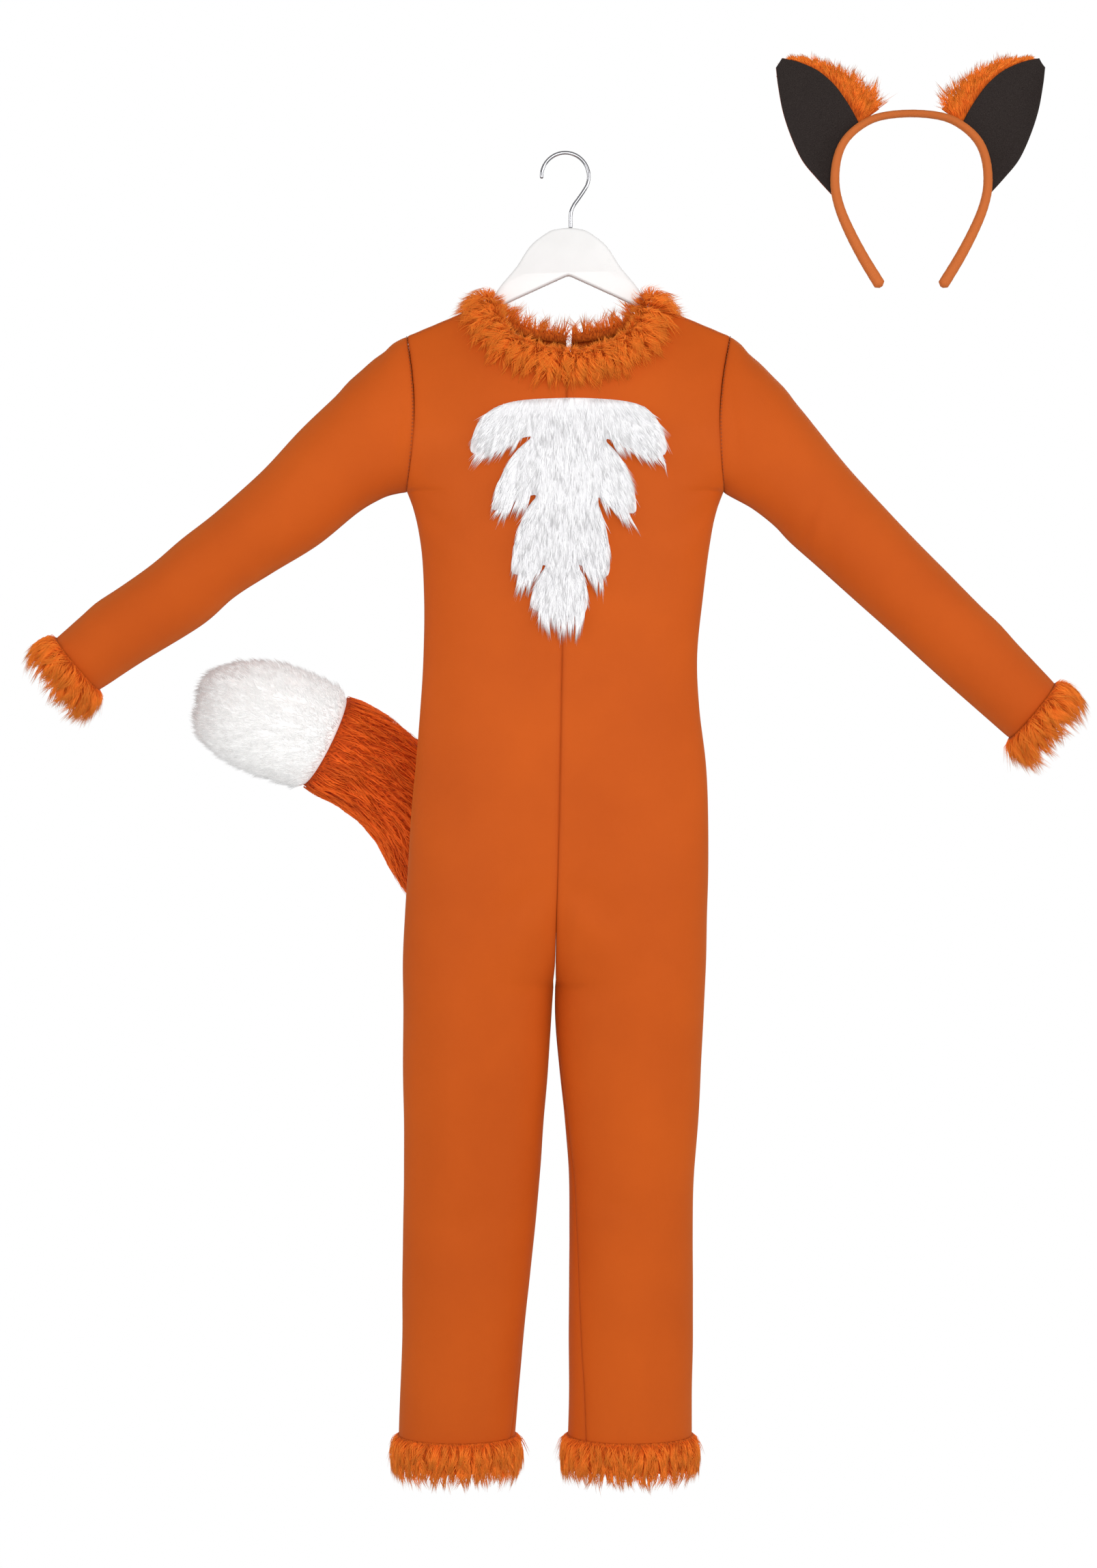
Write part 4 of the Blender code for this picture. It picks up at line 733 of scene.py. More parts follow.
def buildSleeve(side):
    along = np.concatenate([[0, 0.003, 0.008, 0.016], np.linspace(0.025, 0.985, 76), [0.993, 1]])[:, None]
    angle, along = np.broadcast_arrays(ringAngles(52)[None], along)
    grid = sleevePoint(angle, along, side)
    normals = sleeveNormal(angle, along, side)
    normals[0] = unit(normals[0] * [0, 1, 1])
    distance = seamDistance(grid, tube=True)
    down = along * sleeves["length"]
    girth = ((angle + np.pi) % (2 * np.pi) - np.pi) * sleeves["radius"]
    waves = uneven(np.cos(angle) * 60, down + np.sin(angle) * 40, sleeves["swellSize"], 21 + side)
    height = foldHeight(girth, down, sleeves["folds"]) + sleeves["swell"] * waves
    height = height * np.minimum(distance / sleeves["freeEdge"], 1) ** 1.5
    outer = softSeam(grid + normals * height[..., None], normals, distance, girth)
    inner = outer - normals * suit["wall"]
    for points in (outer, inner):
        points[0] = points[0] + [side * suit["armholeGap"], 0, 0]
    name = sideName(side)
    piece = wallPiece("cloth_sleeve_" + name, outer, inner, finish["cloth"], "copper_knit", tube=True,
                      values=seamShade(distance), uv=np.stack([girth, down], axis=-1))
    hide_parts("sleeve_" + name)


for side in (right, left):
    buildSleeve(side)
print("sleeves made")

# Stitching: a row of small lozenges along a line, each lying on the cloth

stitching = {"pitch": 3.4, "length": 2.2, "width": 0.45, "height": 0.3, "below": 3.0, "armholeSunk": 0.15,
             "shoulderSunk": 0.25}


def stitchRow(name, line, normals):
    # stitches of one pitch along the line; each is a nine-point lozenge, long along the line
    steps = runLength(line)
    at = np.arange(stitching["pitch"], steps[-1] - stitching["pitch"], stitching["pitch"])
    centre = readLine(at, steps, line)
    forward = unit(readLine(at + 0.5, steps, line) - centre)
    up = unit(readLine(at, steps, normals))
    axes = np.stack([forward, np.cross(forward, up), up], axis=1)
    shape = np.array([(-1, 0, 0), (-0.5, 1, 0.6), (-0.5, -1, 0.6), (0.5, 1, 0.6), (0.5, -1, 0.6), (1, 0, 0),
                      (-0.4, 0, 1.6), (0.4, 0, 1.6), (0, 0, -1.0)])
    local = shape * [stitching["length"] / 2, stitching["width"], stitching["height"]]
    points = centre[:, None] + sum(local[None, :, k, None] * axes[:, k, None] for k in range(3))
    faces = np.array([(0, 6, 1), (1, 6, 7), (1, 7, 3), (3, 7, 5), (5, 7, 4), (4, 7, 6), (4, 6, 2), (2, 6, 0),
                      (0, 1, 8), (1, 3, 8), (3, 5, 8), (5, 4, 8), (4, 2, 8), (2, 0, 8)])[:, ::-1]
    loops = (faces[None] + np.arange(len(centre))[:, None, None] * len(shape)).ravel()
    sizes = np.full(len(loops) // 3, 3)
    makePiece(name, points.reshape(-1, 3), loops, sizes, finish["thread"], "copper_knit")


def stitchSide(side):
    angle = np.linspace(-0.93 * np.pi, 0.93 * np.pi, 160)
    along = np.full(len(angle), 0.012)
    normals = sleeveNormal(angle, along, side)
    points = sleevePoint(angle, along, side) - normals * stitching["armholeSunk"]
    stitchRow("armhole_stitches_" + sideName(side), points, normals)
    for face in (front, back):
        away = np.linspace(suit["neckHalf"] + 26, suit["tipHalf"] - 3, 60)
        x = suit["shoulderX"] + side * away
        drop = shoulderDrop(x) + stitching["below"]
        normals = yokeNormal(x, drop, face)
        points = stand(x, face * yokeDepth(x, drop, face), drop) - normals * stitching["shoulderSunk"]
        stitchRow(f"shoulder_stitches_{faceName(face)}_{sideName(side)}", points, normals)


for side in (right, left):
    stitchSide(side)
print("stitching made")

# Fur

def nearestLock(u, v, size, long, seed):
    # the nearest of the jittered centres of cells that are long times as long as wide, looking one
    # cell each way
    cellU, cellV = np.floor(u / size), np.floor(v / size / long)
    best = np.full(u.shape, 1e9)
    lockU, lockV, key = np.zeros_like(u), np.zeros_like(v), np.zeros_like(u)
    for du in (-1, 0, 1):
        for dv in (-1, 0, 1):
            a, b = cellU + du, cellV + dv
            name = a * 57.0 + b * 131.0
            x = (a + chance(name, seed)) * size
            y = (b + chance(name, seed + 1)) * size * long
            far = (x - u) ** 2 + ((y - v) / long) ** 2
            closer = far < best
            best = np.where(closer, far, best)
            lockU, lockV = np.where(closer, x, lockU), np.where(closer, y, lockV)
            key = np.where(closer, name, key)
    return lockU, lockV, key


# One row for each kind of fur: the seed of its random draws; how many strands and how long; the width
# of a lock and how many times as long it is; the rise along the normal, the sinking back, and the lean
# towards the comb; how far a lock strays and its strands fray, in radians; how closely they are pulled
# together; the curl and the droop, as shares of the length; and a strand's width
strandColumns = "seed count length lock long lift settle lay stray fray pull curl droop width".split()
furKinds = {kind: dict(zip(strandColumns, row)) for kind, row in {
    "cuff": (31, 4700, 16, 3.2, 2, 0.75, 0.45, 0.5, 0.75, 0.6, 0.75, 0.15, 0.34, 0.34),
    "ankle": (41, 6400, 17, 3.4, 2, 0.5, 0.36, 0.6, 0.5, 0.5, 0.75, 0.12, 0.08, 0.38),
    "neck": (61, 13500, 14, 2.6, 2, 0.95, 0.5, 0.4, 1.0, 0.9, 0.6, 0.18, 0.12, 0.34),
    "patch": (71, 14000, 19, 3.6, 4, 0.30, 0.24, 0.85, 0.12, 0.2, 0.6, 0.05, 0.02, 0.36),
    "tail": (81, 9500, 23, 4.0, 4, 0.26, 0.2, 0.85, 0.24, 0.2, 0.7, 0.12, 0.03, 0.55),
    "tailTip": (91, 19000, 9, 5.0, 1, 0.72, 0.12, 0.7, 0.6, 0.8, 0.2, 0.0, 0.0, 0.36),
    "earBack": (101, 1800, 10, 3.6, 3, 0.5, 0.35, 0.65, 0.35, 0.4, 0.6, 0.1, 0.02, 0.36),
    "earFringe": (111, 1600, 13, 3.2, 3, 0.3, 0.15, 0.7, 0.45, 0.4, 0.75, 0.1, -0.06, 0.32),
}.items()}


def growFur(name, place, spanU, spanV, kind, material, slot, shift=0, stops=(0.0, 0.5, 1.0), keep=None,
            over=1):
    # strands rise along the normal and bend over towards the comb; each is gathered sideways to its
    # lock's middle strand, more and more towards the tip, and the lock as a whole turns and curls
    spec = furKinds[kind]
    seed = spec["seed"] + shift
    rng = np.random.default_rng(seed)
    u = rng.uniform(*spanU, int(spec["count"] * over))
    v = rng.uniform(*spanV, len(u))
    if keep is not None:
        kept = keep(u, v)
        u, v = u[kept][: spec["count"]], v[kept][: spec["count"]]
    lockU, lockV, key = nearestLock(u, v, spec["lock"], spec["long"], seed)
    own = rng.uniform(0, 1, (5, len(u)))
    lock = [chance(key, seed + k) for k in (11, 12, 13, 14)]
    length = spec["length"] * (0.7 + 0.6 * lock[0]) * (0.8 + 0.4 * own[0])

    def strand(t, root, normal, comb, gain, turn):
        side = np.cross(normal, comb)
        lean = comb * np.cos(turn)[:, None] + side * np.sin(turn)[:, None]
        reach = (length * gain)[:, None]
        wave = spec["curl"] * np.sin(np.pi * (1.6 * t + 2 * lock[2]))[:, None]
        rise = normal * (spec["lift"] * t - spec["settle"] * t * t)
        bend = rise + lean * (spec["lay"] * t + (1 - spec["lay"]) * t * t)
        return root + reach * (bend + side * wave * t) - toTop * reach * spec["droop"] * t * t

    here = place(u, v)
    middle = place(np.clip(lockU, *spanU), np.clip(lockV, *spanV))
    _, normal, comb, _ = here
    turn = (lock[1] - 0.5) * 2 * spec["stray"]
    ownTurn = turn + (own[1] - 0.5) * spec["fray"]
    lines = []
    for t in stops:
        mine = strand(t, *here, ownTurn)
        pull = spec["pull"] * t**1.3 * (0.6 + 0.4 * own[2])
        apart = squareTo(strand(t, *middle, turn) - mine, comb)
        lines.append(mine + apart * pull[:, None] - normal * (0.5 if t == 0 else 0))
    lines = np.array(lines)
    ahead = unit(np.gradient(lines, axis=0))
    across = unit(np.cross(normal[None] + 0.01, ahead))
    up = np.cross(ahead, across)
    # a flattened three-sided ring at every stop but the last, where the strand ends in a point
    width = spec["width"] * (0.7 + 0.6 * own[3])
    rings = []
    for k, t in enumerate(stops[:-1]):
        size = (width * (1 - t) ** 0.6)[:, None]
        for degrees in (90, 210, 330):
            a = math.radians(degrees)
            rings.append(lines[k] + size * (across[k] * math.cos(a) * 1.25 + up[k] * math.sin(a) * 0.7))
    points = np.stack([*rings, lines[-1]], axis=1)
    per, count = points.shape[1], len(u)
    last = 3 * (len(stops) - 2)
    pairs = [(j, (j + 1) % 3) for j in range(3)]
    quads = [(k + a, k + b, k + 3 + b, k + 3 + a) for k in range(0, last, 3) for a, b in pairs]
    tris = [(0, 2, 1)] + [(last + a, last + b, per - 1) for a, b in pairs]
    offset = (np.arange(count) * per)[:, None, None]
    loops = np.concatenate([(np.array(faces)[None] + offset).ravel() for faces in (quads, tris) if faces])
    sizes = np.concatenate([np.full(count * len(quads), 4), np.full(count * len(tris), 3)])
    heights = np.concatenate([np.repeat(stops[:-1], 3), [1.0]])
    tint = np.clip(0.65 * lock[3] + 0.35 * own[4], 0, 1)
    values = {"along": np.tile(heights, count), "tint": np.repeat(tint, per)}
    makePiece(name, points.reshape(-1, 3), loops, sizes, material, slot, values)


def profileCurve(points, count):  # a closed profile made round by two rounds of corner cutting
    line = closedLine(cutCorners(cutCorners(np.array(points, float))))
    steps = runLength(line)
    return readLine(np.linspace(0, steps[-1], count, endpoint=False), steps, line)


def bandSurface(edge, out, along, spec, closed):
    # a fur band: its skin is the profile carried round the edge, and the strands grow from the
    # stretch of the profile that faces out
    profile = profileCurve(spec["profile"], 36)
    grid = edge[:, None] + along[:, None] * profile[None, :, :1] + out[:, None] * profile[None, :, 1:]
    loops = [closedLine(line) if closed else line for line in (edge, out, along)]
    lengths = runLength(loops[0])
    rooted = np.array(spec["rooted"], float)
    steps = runLength(rooted)
    slope = unit(np.gradient(rooted, axis=0))

    def place(u, v):
        at = u % lengths[-1] if closed else u
        e, o, a = (readLine(at, lengths, line) for line in loops)
        spot, way = readLine(v, steps, rooted), unit(readLine(v, steps, slope))
        root = e + a * spot[:, :1] + o * spot[:, 1:]
        normal = unit(-a * way[:, 1:] + o * way[:, :1]) * spec["turned"]
        comb = unit(a * spec["comb"](v / steps[-1], e[:, 1])[:, None] + o * spec["flare"])
        return root, normal, unit(squareTo(comb, normal, 0.7)), 1 - spec["shorten"] * v / steps[-1]

    return grid, place, lengths[-1], steps[-1]


def straight(share, y):  # a comb that points along the limb everywhere
    return np.ones_like(share)


cuffFur = {
    "profile": ((-2.9, -0.2), (-2.4, 1.4), (5, 4.2), (13, 4.4), (19, 3), (20, 0.5), (12, -2.0), (0.5, -2.5),
                (0.2, -1.6), (-0.6, -0.3)),
    "rooted": ((-2.4, 0.7), (-1.6, 1.9), (5, 3.9), (13, 4.1), (18.5, 2.8), (19.8, 0.8)),
    "turned": 1, "comb": straight, "flare": 0.16, "shorten": 0.2, "fur": "cuff",
}
ankleFur = {
    "profile": ((-2.9, -0.2), (-2.4, 1.4), (6, 3.8), (19, 3.8), (25, 2.8), (26, 0.5), (16, -2.0), (0.5, -2.5),
                (0.2, -1.6), (-0.6, -0.3)),
    "rooted": ((-2.4, 0.7), (-1.6, 1.8), (6, 3.5), (19, 3.5), (24.5, 2.6), (25.8, 0.8)),
    "turned": 1, "comb": straight, "flare": 0.03, "shorten": 0.2, "fur": "ankle",
}


def furBand(name, edge, out, along, spec, side, flip):
    grid, place, around, across = bandSurface(edge, out, along, spec, closed=True)
    base = gridPiece("skin_" + name, grid, finish["orangeGround"], "rust_fur", closeAlong=True, flip=flip)
    growFur("strands_" + name, place, (0, around), (0, across), spec["fur"], finish["orangeFur"], "rust_fur",
            shift=1 + side)
    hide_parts(name)


def buildCuff(side):
    # the band stands square to the last section of the sleeve
    angle = ringAngles(64)
    end = np.ones(len(angle))
    top, low, _ = sleeveSection(np.array(1.0), side)
    line = low - top
    along = unit(np.array([-line[2], 0, line[0]]))
    along = along if along[0] * side > 0 else -along
    out = unit(squareTo(sleeveNormal(angle, end, side), along))
    furBand("cuff_fur_" + sideName(side), sleevePoint(angle, end, side), out, np.tile(along, (len(angle), 1)),
            cuffFur, side, side == right)


def buildAnkle(side):
    angle = ringAngles(72)
    drop = np.full(len(angle), suit["hemDrop"])
    edge = section(angle, drop, side)
    around = section(angle + 0.01, drop, side) - edge
    down = np.tile(-toTop, (len(angle), 1))
    out = unit(np.cross(around, down)) * -side
    furBand("ankle_fur_" + sideName(side), edge, out, down, ankleFur, side, side == left)


for side in (right, left):
    buildCuff(side)
    buildAnkle(side)
print("cuffs and ankles furred")


def neckComb(share, y):
    # outwards over the roll in front; at the back the inner quarter stands up inside the neck
    return np.where(y < 0, np.clip(1.15 - 1.5 * share, -0.3, 1), np.clip((0.74 - share) * 4, -0.9, 1))


neckFur = {
    "profile": ((7.5, 0.8), (7, 3.6), (3, 6), (-3, 6.8), (-7, 5.6), (-8.5, 1.5), (-6.5, -4), (-2.4, -4),
                (-2.0, 0.8)),
    "rooted": ((7.6, 1.0), (6.8, 3.4), (2.8, 5.7), (-3, 6.5), (-6.8, 5.4), (-8.2, 1.5), (-6.6, -3)),
    "turned": -1, "comb": neckComb, "flare": 0.12, "shorten": 0.1, "backGap": 2.2, "backRise": 4.5,
    "hangerHalf": 17.0, "endCentre": (3.0, 4.0), "endShare": 0.6,
}


def neckPath(count):
    # the neckline in space, from the middle of the back round to it again, at even steps
    turn = np.linspace(0, np.pi / 2, 120)
    parts = []
    for face, side, order in ((back, right, 1), (front, right, -1), (front, left, 1), (back, left, -1)):
        x, drop = neckPoint(turn[::order], face, side)
        points = stand(x, face * yokeDepth(x, drop, face), drop)
        parts.append(np.concatenate([points, yokeNormal(x, drop, face)], axis=1)[:-1])
    line = np.concatenate(parts)
    length = runLength(line[:, :3])
    even = readLine(np.linspace(neckFur["backGap"], length[-1] - neckFur["backGap"], count), length, line)
    for _ in range(8):
        even[1:-1, 3:] = (even[:-2, 3:] + 2 * even[1:-1, 3:] + even[2:, 3:]) / 4
    return even[:, :3], unit(even[:, 3:])


def buildNeck():
    path, normal = neckPath(150)
    forward = unit(np.gradient(path, axis=0))
    normal = unit(squareTo(normal, forward))
    over = np.cross(forward, normal)
    over = over * np.sign(np.sum(over * (path - path.mean(axis=0)), axis=1, keepdims=True))
    grid, place, around, across = bandSurface(path, normal, over, neckFur, closed=False)
    # beside the hanger's neck the skin stays clear of the board; behind it stands a little higher
    near = np.clip((neckFur["hangerHalf"] - np.abs(path[:, 1])) / 8, 0, 1)[:, None, None]
    inward = np.sum((grid - path[:, None]) * over[:, None], axis=2, keepdims=True)
    height = np.sum((grid - path[:, None]) * normal[:, None], axis=2, keepdims=True)
    outward, upward = np.maximum(inward, -2.0) - inward, np.maximum(height, 1.0) - height
    grid = grid + near * (over[:, None] * outward + normal[:, None] * upward)
    behind = np.clip((path[:, 1] - 5) / 10, 0, 1)[:, None, None]
    grid = grid - over[:, None] * neckFur["backRise"] * behind * np.clip(-inward / 8, 0, 1)
    for end in (0, -1):
        aside, above = neckFur["endCentre"]
        centre = path[end] + over[end] * aside + normal[end] * above
        grid[end] = centre + (grid[end] - centre) * neckFur["endShare"]
    base = gridPiece("skin_neck_fur", grid, finish["orangeGround"], "rust_fur")

    def placeClear(u, v):
        # longer on the shoulders, where the inner strands stand up beside the hanger; shorter on the
        # front's inner side
        root, out, comb, gain = place(u, v)
        inner = np.clip(v / across * 3 - 1.2, 0, 1)
        shoulder = np.clip((30 - np.abs(root[:, 1])) / 20, 0, 1)
        ahead = np.clip((-14 - root[:, 1]) / 10, 0, 1)
        behind = np.clip((root[:, 1] - 5) / 10, 0, 1)
        comb = comb * (1 - (0.35 + 0.35 * inner) * shoulder)[:, None]
        gain = gain * (1 + (0.45 + 0.5 * inner) * shoulder) * (1 - 0.25 * inner * ahead) * (1 + 0.25 * behind)
        return root, out, comb, gain

    growFur("strands_neck_fur", placeClear, (0.5, around - 0.5), (0, across), "neck", finish["orangeFur"],
            "rust_fur")
    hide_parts("neck_fur")


buildNeck()
print("collar furred")

# Chest patch

chestPatch = {
    # round the edge from its top middle; fringe is 1 where the fur hangs over the edge up to the next point
    "outline": columns("x drop fringe", (
        (-1, 231, 0), (-42, 232.5, 0), (-63.5, 238.5, 0), (-77, 249, 0), (-84, 263, 0),
        (-87.5, 283, 1), (-67.5, 277.5, 1), (-43.5, 268, 1), (-27, 264.5, 0), (-42.5, 276, 0),
        (-53, 290, 0), (-61, 308, 0), (-65.5, 325, 0), (-67, 335, 1), (-48.5, 325, 1), (-21.5, 316, 0),
        (-35, 330, 0), (-42.5, 348, 0), (-47, 368, 0), (-49.5, 384, 0), (-48, 391.5, 1), (-33, 390, 1),
        (-14, 378.5, 0), (-26.5, 395, 0), (-31.5, 412, 0), (-32.5, 422, 1), (-8, 429, 1),
        (15.5, 427, 1), (20, 422, 0), (19.5, 405, 0), (14, 387, 0), (8.5, 378.5, 1), (27, 392, 1),
        (38.5, 394, 0), (40.5, 382, 0), (39, 360, 0), (34.5, 339.5, 0), (25, 316.5, 1), (44, 331, 1),
        (64, 337.5, 0), (64, 325, 0), (60, 305, 0), (50, 283, 0), (30, 264.5, 1), (56.5, 275, 1),
        (78, 283, 1), (92.5, 282.5, 0), (90, 264, 0), (83.5, 250, 0), (72, 238, 0), (53, 233, 0),
        (19, 231, 0))),
    "lift": 1.0, "skin": 3.2, "edge": 1.6, "spacing": 5.0, "rimSpacing": 3.2, "rimClear": 2.0, "rimFade": 6.0,
}


def insideOutline(x, y, outline):  # true where an odd number of edges lies to the right
    ends = np.roll(outline, -1, axis=0)
    found = np.zeros(x.shape, bool)
    for (ax, ay), (bx, by) in zip(outline, ends):
        crosses = (ay > y) != (by > y)
        found ^= crosses & (ax + (y - ay) / ((by - ay) or 1) * (bx - ax) > x)
    return found


def crossesEdge(start, end, outline, fringe):
    # true where the way from start to end passes one of the outline's edges that has no fringe
    found = np.zeros(len(start), bool)
    way = end - start
    for a, b, hangs in zip(outline, np.roll(outline, -1, axis=0), fringe):
        if hangs > 0.5:
            continue
        edge = b - a
        turned = way[:, 0] * edge[1] - way[:, 1] * edge[0]
        turned = np.where(np.abs(turned) < 1e-9, 1e-9, turned)
        apart = a - start
        t = (apart[:, 0] * edge[1] - apart[:, 1] * edge[0]) / turned
        s = (apart[:, 0] * way[:, 1] - apart[:, 1] * way[:, 0]) / turned
        found |= (t > 0) & (t < 1) & (s > 0) & (s < 1)
    return found


def roundedOutline():  # two rounds of corner cutting; a cut corner hangs over only if both its edges do
    table = chestPatch["outline"]
    points, fringe = np.stack([table["x"], table["drop"]], axis=1), table["fringe"]
    for _ in range(2):
        points = cutCorners(points)
        fringe = np.stack([fringe, fringe * np.roll(fringe, -1)], axis=1).ravel()
    return points, fringe


patchOutline, patchFringe = roundedOutline()


def patchComb(x, drop):
    # straight down in the middle, out along the wings, and less so lower down; beside a cut edge the
    # fur follows that edge downwards
    outward = np.sign(x) * np.clip(np.abs(x) / 80, 0, 1) ** 1.2
    outward = outward * np.clip(1.2 - (drop - 230) / 220, 0.3, 1) * 0.85
    ends = np.roll(patchOutline, -1, axis=0)
    cut = patchFringe < 0.5
    middle, way = ((patchOutline + ends) / 2)[cut], unit(ends - patchOutline)[cut]
    way = way * np.where(way[:, 1:] < 0, -1, 1)
    apart = np.linalg.norm(np.stack([x, drop], axis=-1)[:, None] - middle[None], axis=2)
    nearest = np.argmin(apart, axis=1)
    weight = 3 * np.exp(-(np.min(apart, axis=1) / 8) ** 2) * way[nearest, 1] ** 2
    return unit(np.stack([outward, np.ones_like(x)], axis=-1) + way[nearest] * weight[:, None])


def patchMesh():
    # points on a grid inside the outline and along it, joined to triangles that all turn one way
    around = closedLine(patchOutline)
    lengths = runLength(around)
    ring = readLine(np.arange(0, lengths[-1] - 2, chestPatch["rimSpacing"]), lengths, around)
    spacing = chestPatch["spacing"]
    ys, xs = np.meshgrid(np.arange(228, 440, spacing), np.arange(-95, 98, spacing))
    loose = np.stack([xs.ravel(), ys.ravel()], axis=1)
    loose = loose[insideOutline(*loose.T, patchOutline)]
    gap = np.min(np.linalg.norm(loose[:, None] - ring[None], axis=2), axis=1)
    flat = np.concatenate([ring, loose[gap > chestPatch["rimClear"]]])
    edges = [(i, (i + 1) % len(ring)) for i in range(len(ring))]
    filled = geometry.delaunay_2d_cdt([Vector(p) for p in flat], edges, [], 1, 1e-4)
    points, faces = (np.array([tuple(row) for row in filled[k]]) for k in (0, 2))
    corner = points[faces]
    first, second = corner[:, 1] - corner[:, 0], corner[:, 2] - corner[:, 0]
    turned = first[:, 0] * second[:, 1] - first[:, 1] * second[:, 0] > 0
    rim = np.min(np.linalg.norm(points[:, None] - ring[None], axis=2), axis=1)
    return points, np.where(turned[:, None], faces, faces[:, ::-1]), rim


def buildPatch():
    # the skin lies on the chest, thin at its rim, with the same face behind and a wall round the rim
    points, faces, rim = patchMesh()
    x, drop = points.T
    root, normal = stand(x, torsoY(x, drop, front), drop), torsoNormal(x, drop, front)
    inner = np.clip(rim / chestPatch["rimFade"], 0, 1)
    rise = chestPatch["edge"] + (chestPatch["skin"] - chestPatch["edge"]) * np.sqrt(inner)
    thick = (rise + 0.4 * uneven(x, drop, 18, 3) * inner)[:, None]
    above, below = root + normal * (chestPatch["lift"] + thick), root + normal * chestPatch["lift"]
    halves = np.concatenate([faces[:, (0, 1)], faces[:, (1, 2)], faces[:, (2, 0)]])
    opposite = set(map(tuple, halves[:, ::-1].tolist()))
    a, b = np.array([edge for edge in map(tuple, halves.tolist()) if edge not in opposite]).T
    count = len(points)
    walls = np.stack([b, a, a + count, b + count], axis=1)
    loops = np.concatenate([faces.ravel(), (faces[:, ::-1] + count).ravel(), walls.ravel()])
    sizes = np.concatenate([np.full(2 * len(faces), 3), np.full(len(walls), 4)])
    base = makePiece("skin_chest_patch", np.concatenate([above, below]), loops, sizes, finish["whiteGround"],
                     "white_fur")
    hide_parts("chest_patch")

    def place(u, v):
        normal = torsoNormal(u, v, front)
        root = stand(u, torsoY(u, v, front), v) + normal * (chestPatch["lift"] + chestPatch["skin"] * 0.8)
        flatComb = patchComb(u, v)
        comb = unit(squareTo(stand(flatComb[:, 0], 0.0, flatComb[:, 1]), normal))
        return root, normal, comb, np.clip(0.8 + (v - 230) / 600, 0.8, 1.1)

    def keep(u, v):
        start = np.stack([u, v], axis=1)
        tip = start + patchComb(u, v) * furKinds["patch"]["length"] * 0.85
        return insideOutline(u, v, patchOutline) & ~crossesEdge(start, tip, patchOutline, patchFringe)

    growFur("strands_chest_patch", place, (-92, 96), (229, 432), "patch", finish["whiteFur"], "white_fur",
            keep=keep, over=3.4)


buildPatch()
print("chest patch furred")

# Tail

tail = {
    "line": columns("x y drop radius", (
        (-7, 62.2, 640, 15), (-13, 84, 647, 19), (-40, 104, 672, 27), (-80, 110, 688, 38),
        (-117, 104, 657, 46), (-148, 94, 600, 50), (-189, 79, 561, 51.5), (-227, 68, 540, 53),
        (-257, 61, 527, 55), (-287, 56, 517, 54), (-312, 52, 511, 47), (-333, 50, 508, 33),
        (-346, 49, 506.5, 16))),
    "seam": 7.0, "skinShare": 0.91, "lumps": 0.9, "rowLength": 42.0, "girthScale": 50.0,
    # the rounded end beyond the last row: where it starts, its length in rows and its depth
    "capStart": 11.0, "capRows": 0.7, "capDepth": 6.0,
}


def tailFrame(at):
    # the middle line and two directions square to it, at a place counted in rows of the table
    table = tail["line"]
    knots = np.arange(len(table["x"]), dtype=float)

    def middle(at):
        return stand(*(smooth(at, knots, table[key]) for key in ("x", "y", "drop")))

    step = 0.05
    forward = unit(middle(np.minimum(at + step, knots[-1])) - middle(np.maximum(at - step, 0)))
    level = unit(np.cross(forward, toTop))
    return middle(at), forward, level, np.cross(level, forward), smooth(at, knots, table["radius"])


def tailSurface(angle, at, share):
    # a round form whose radius follows the table; past the cap's start it closes like a flat dome.
    # The normal leans by the radius's slope.
    cap = np.clip((at - tail["capStart"]) / tail["capRows"], 0, 1)
    at = np.minimum(at, tail["capStart"])
    centre, forward, level, upright, radius = tailFrame(at)
    after, before = tailFrame(at + 0.1), tailFrame(np.maximum(at - 0.1, 0))
    slope = (after[4] - before[4]) / np.maximum(np.linalg.norm(after[0] - before[0], axis=-1), 1)
    out = level * np.cos(angle)[..., None] + upright * np.sin(angle)[..., None]
    lumps = tail["lumps"] * uneven(angle * 30 + at * 4, at * tail["rowLength"], 34, 9)
    swell = (radius * share + lumps) * (1 - cap)
    ahead = forward * (tail["capDepth"] * np.sqrt(1 - (1 - cap) ** 2))[..., None]
    normal = unit(out * (1 - cap)[..., None] + forward * (cap - np.clip(slope, -2, 2))[..., None])
    return centre + out * swell[..., None] + ahead, normal, forward


def buildTail(name, span, furEnd, slot, skin, fur, kind, way, stops=(0.0, 0.5, 1.0)):
    # a stuffed length whose skin dips to the seam; its fur lies along the tail, way giving the direction
    rowLength, share = tail["rowLength"], tail["skinShare"]
    at = np.linspace(*span, 60)[:, None]
    dip = 1 - 0.07 * np.exp(-np.abs(at - tail["seam"]) * rowLength / 3)
    grid = tailSurface(ringAngles(72)[None], at, share * dip)[0]
    base = gridPiece("skin_" + name, grid, finish[skin], slot, flip=True)
    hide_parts(name)

    def place(u, v):
        root, normal, ahead = tailSurface(u / tail["girthScale"], v / rowLength, share)
        comb = unit(squareTo(ahead * way, normal, 0.9))
        return root, normal, comb, np.clip((v / rowLength - 0.1) / 1.5, 0.45, 1)

    growFur("strands_" + name, place, (0, 2 * np.pi * tail["girthScale"]),
            (span[0] * rowLength + 2, furEnd * rowLength - 1), kind, finish[fur], slot, stops=stops)


tailSeam, tailCap, capRows = tail["seam"], tail["capStart"], tail["capRows"]
buildTail("tail_body", (0.12, tailSeam), tailSeam, "tail_fur", "tailGround", "tailFur", "tail", -1)
buildTail("tail_tip", (tailSeam + 0.02, tailCap + capRows * 0.9), tailCap + capRows / 2, "white_fur",
          "plushGround", "plushFur", "tailTip", 1, stops=(0.0, 1.0))
print("tail furred")

# Headband and ears

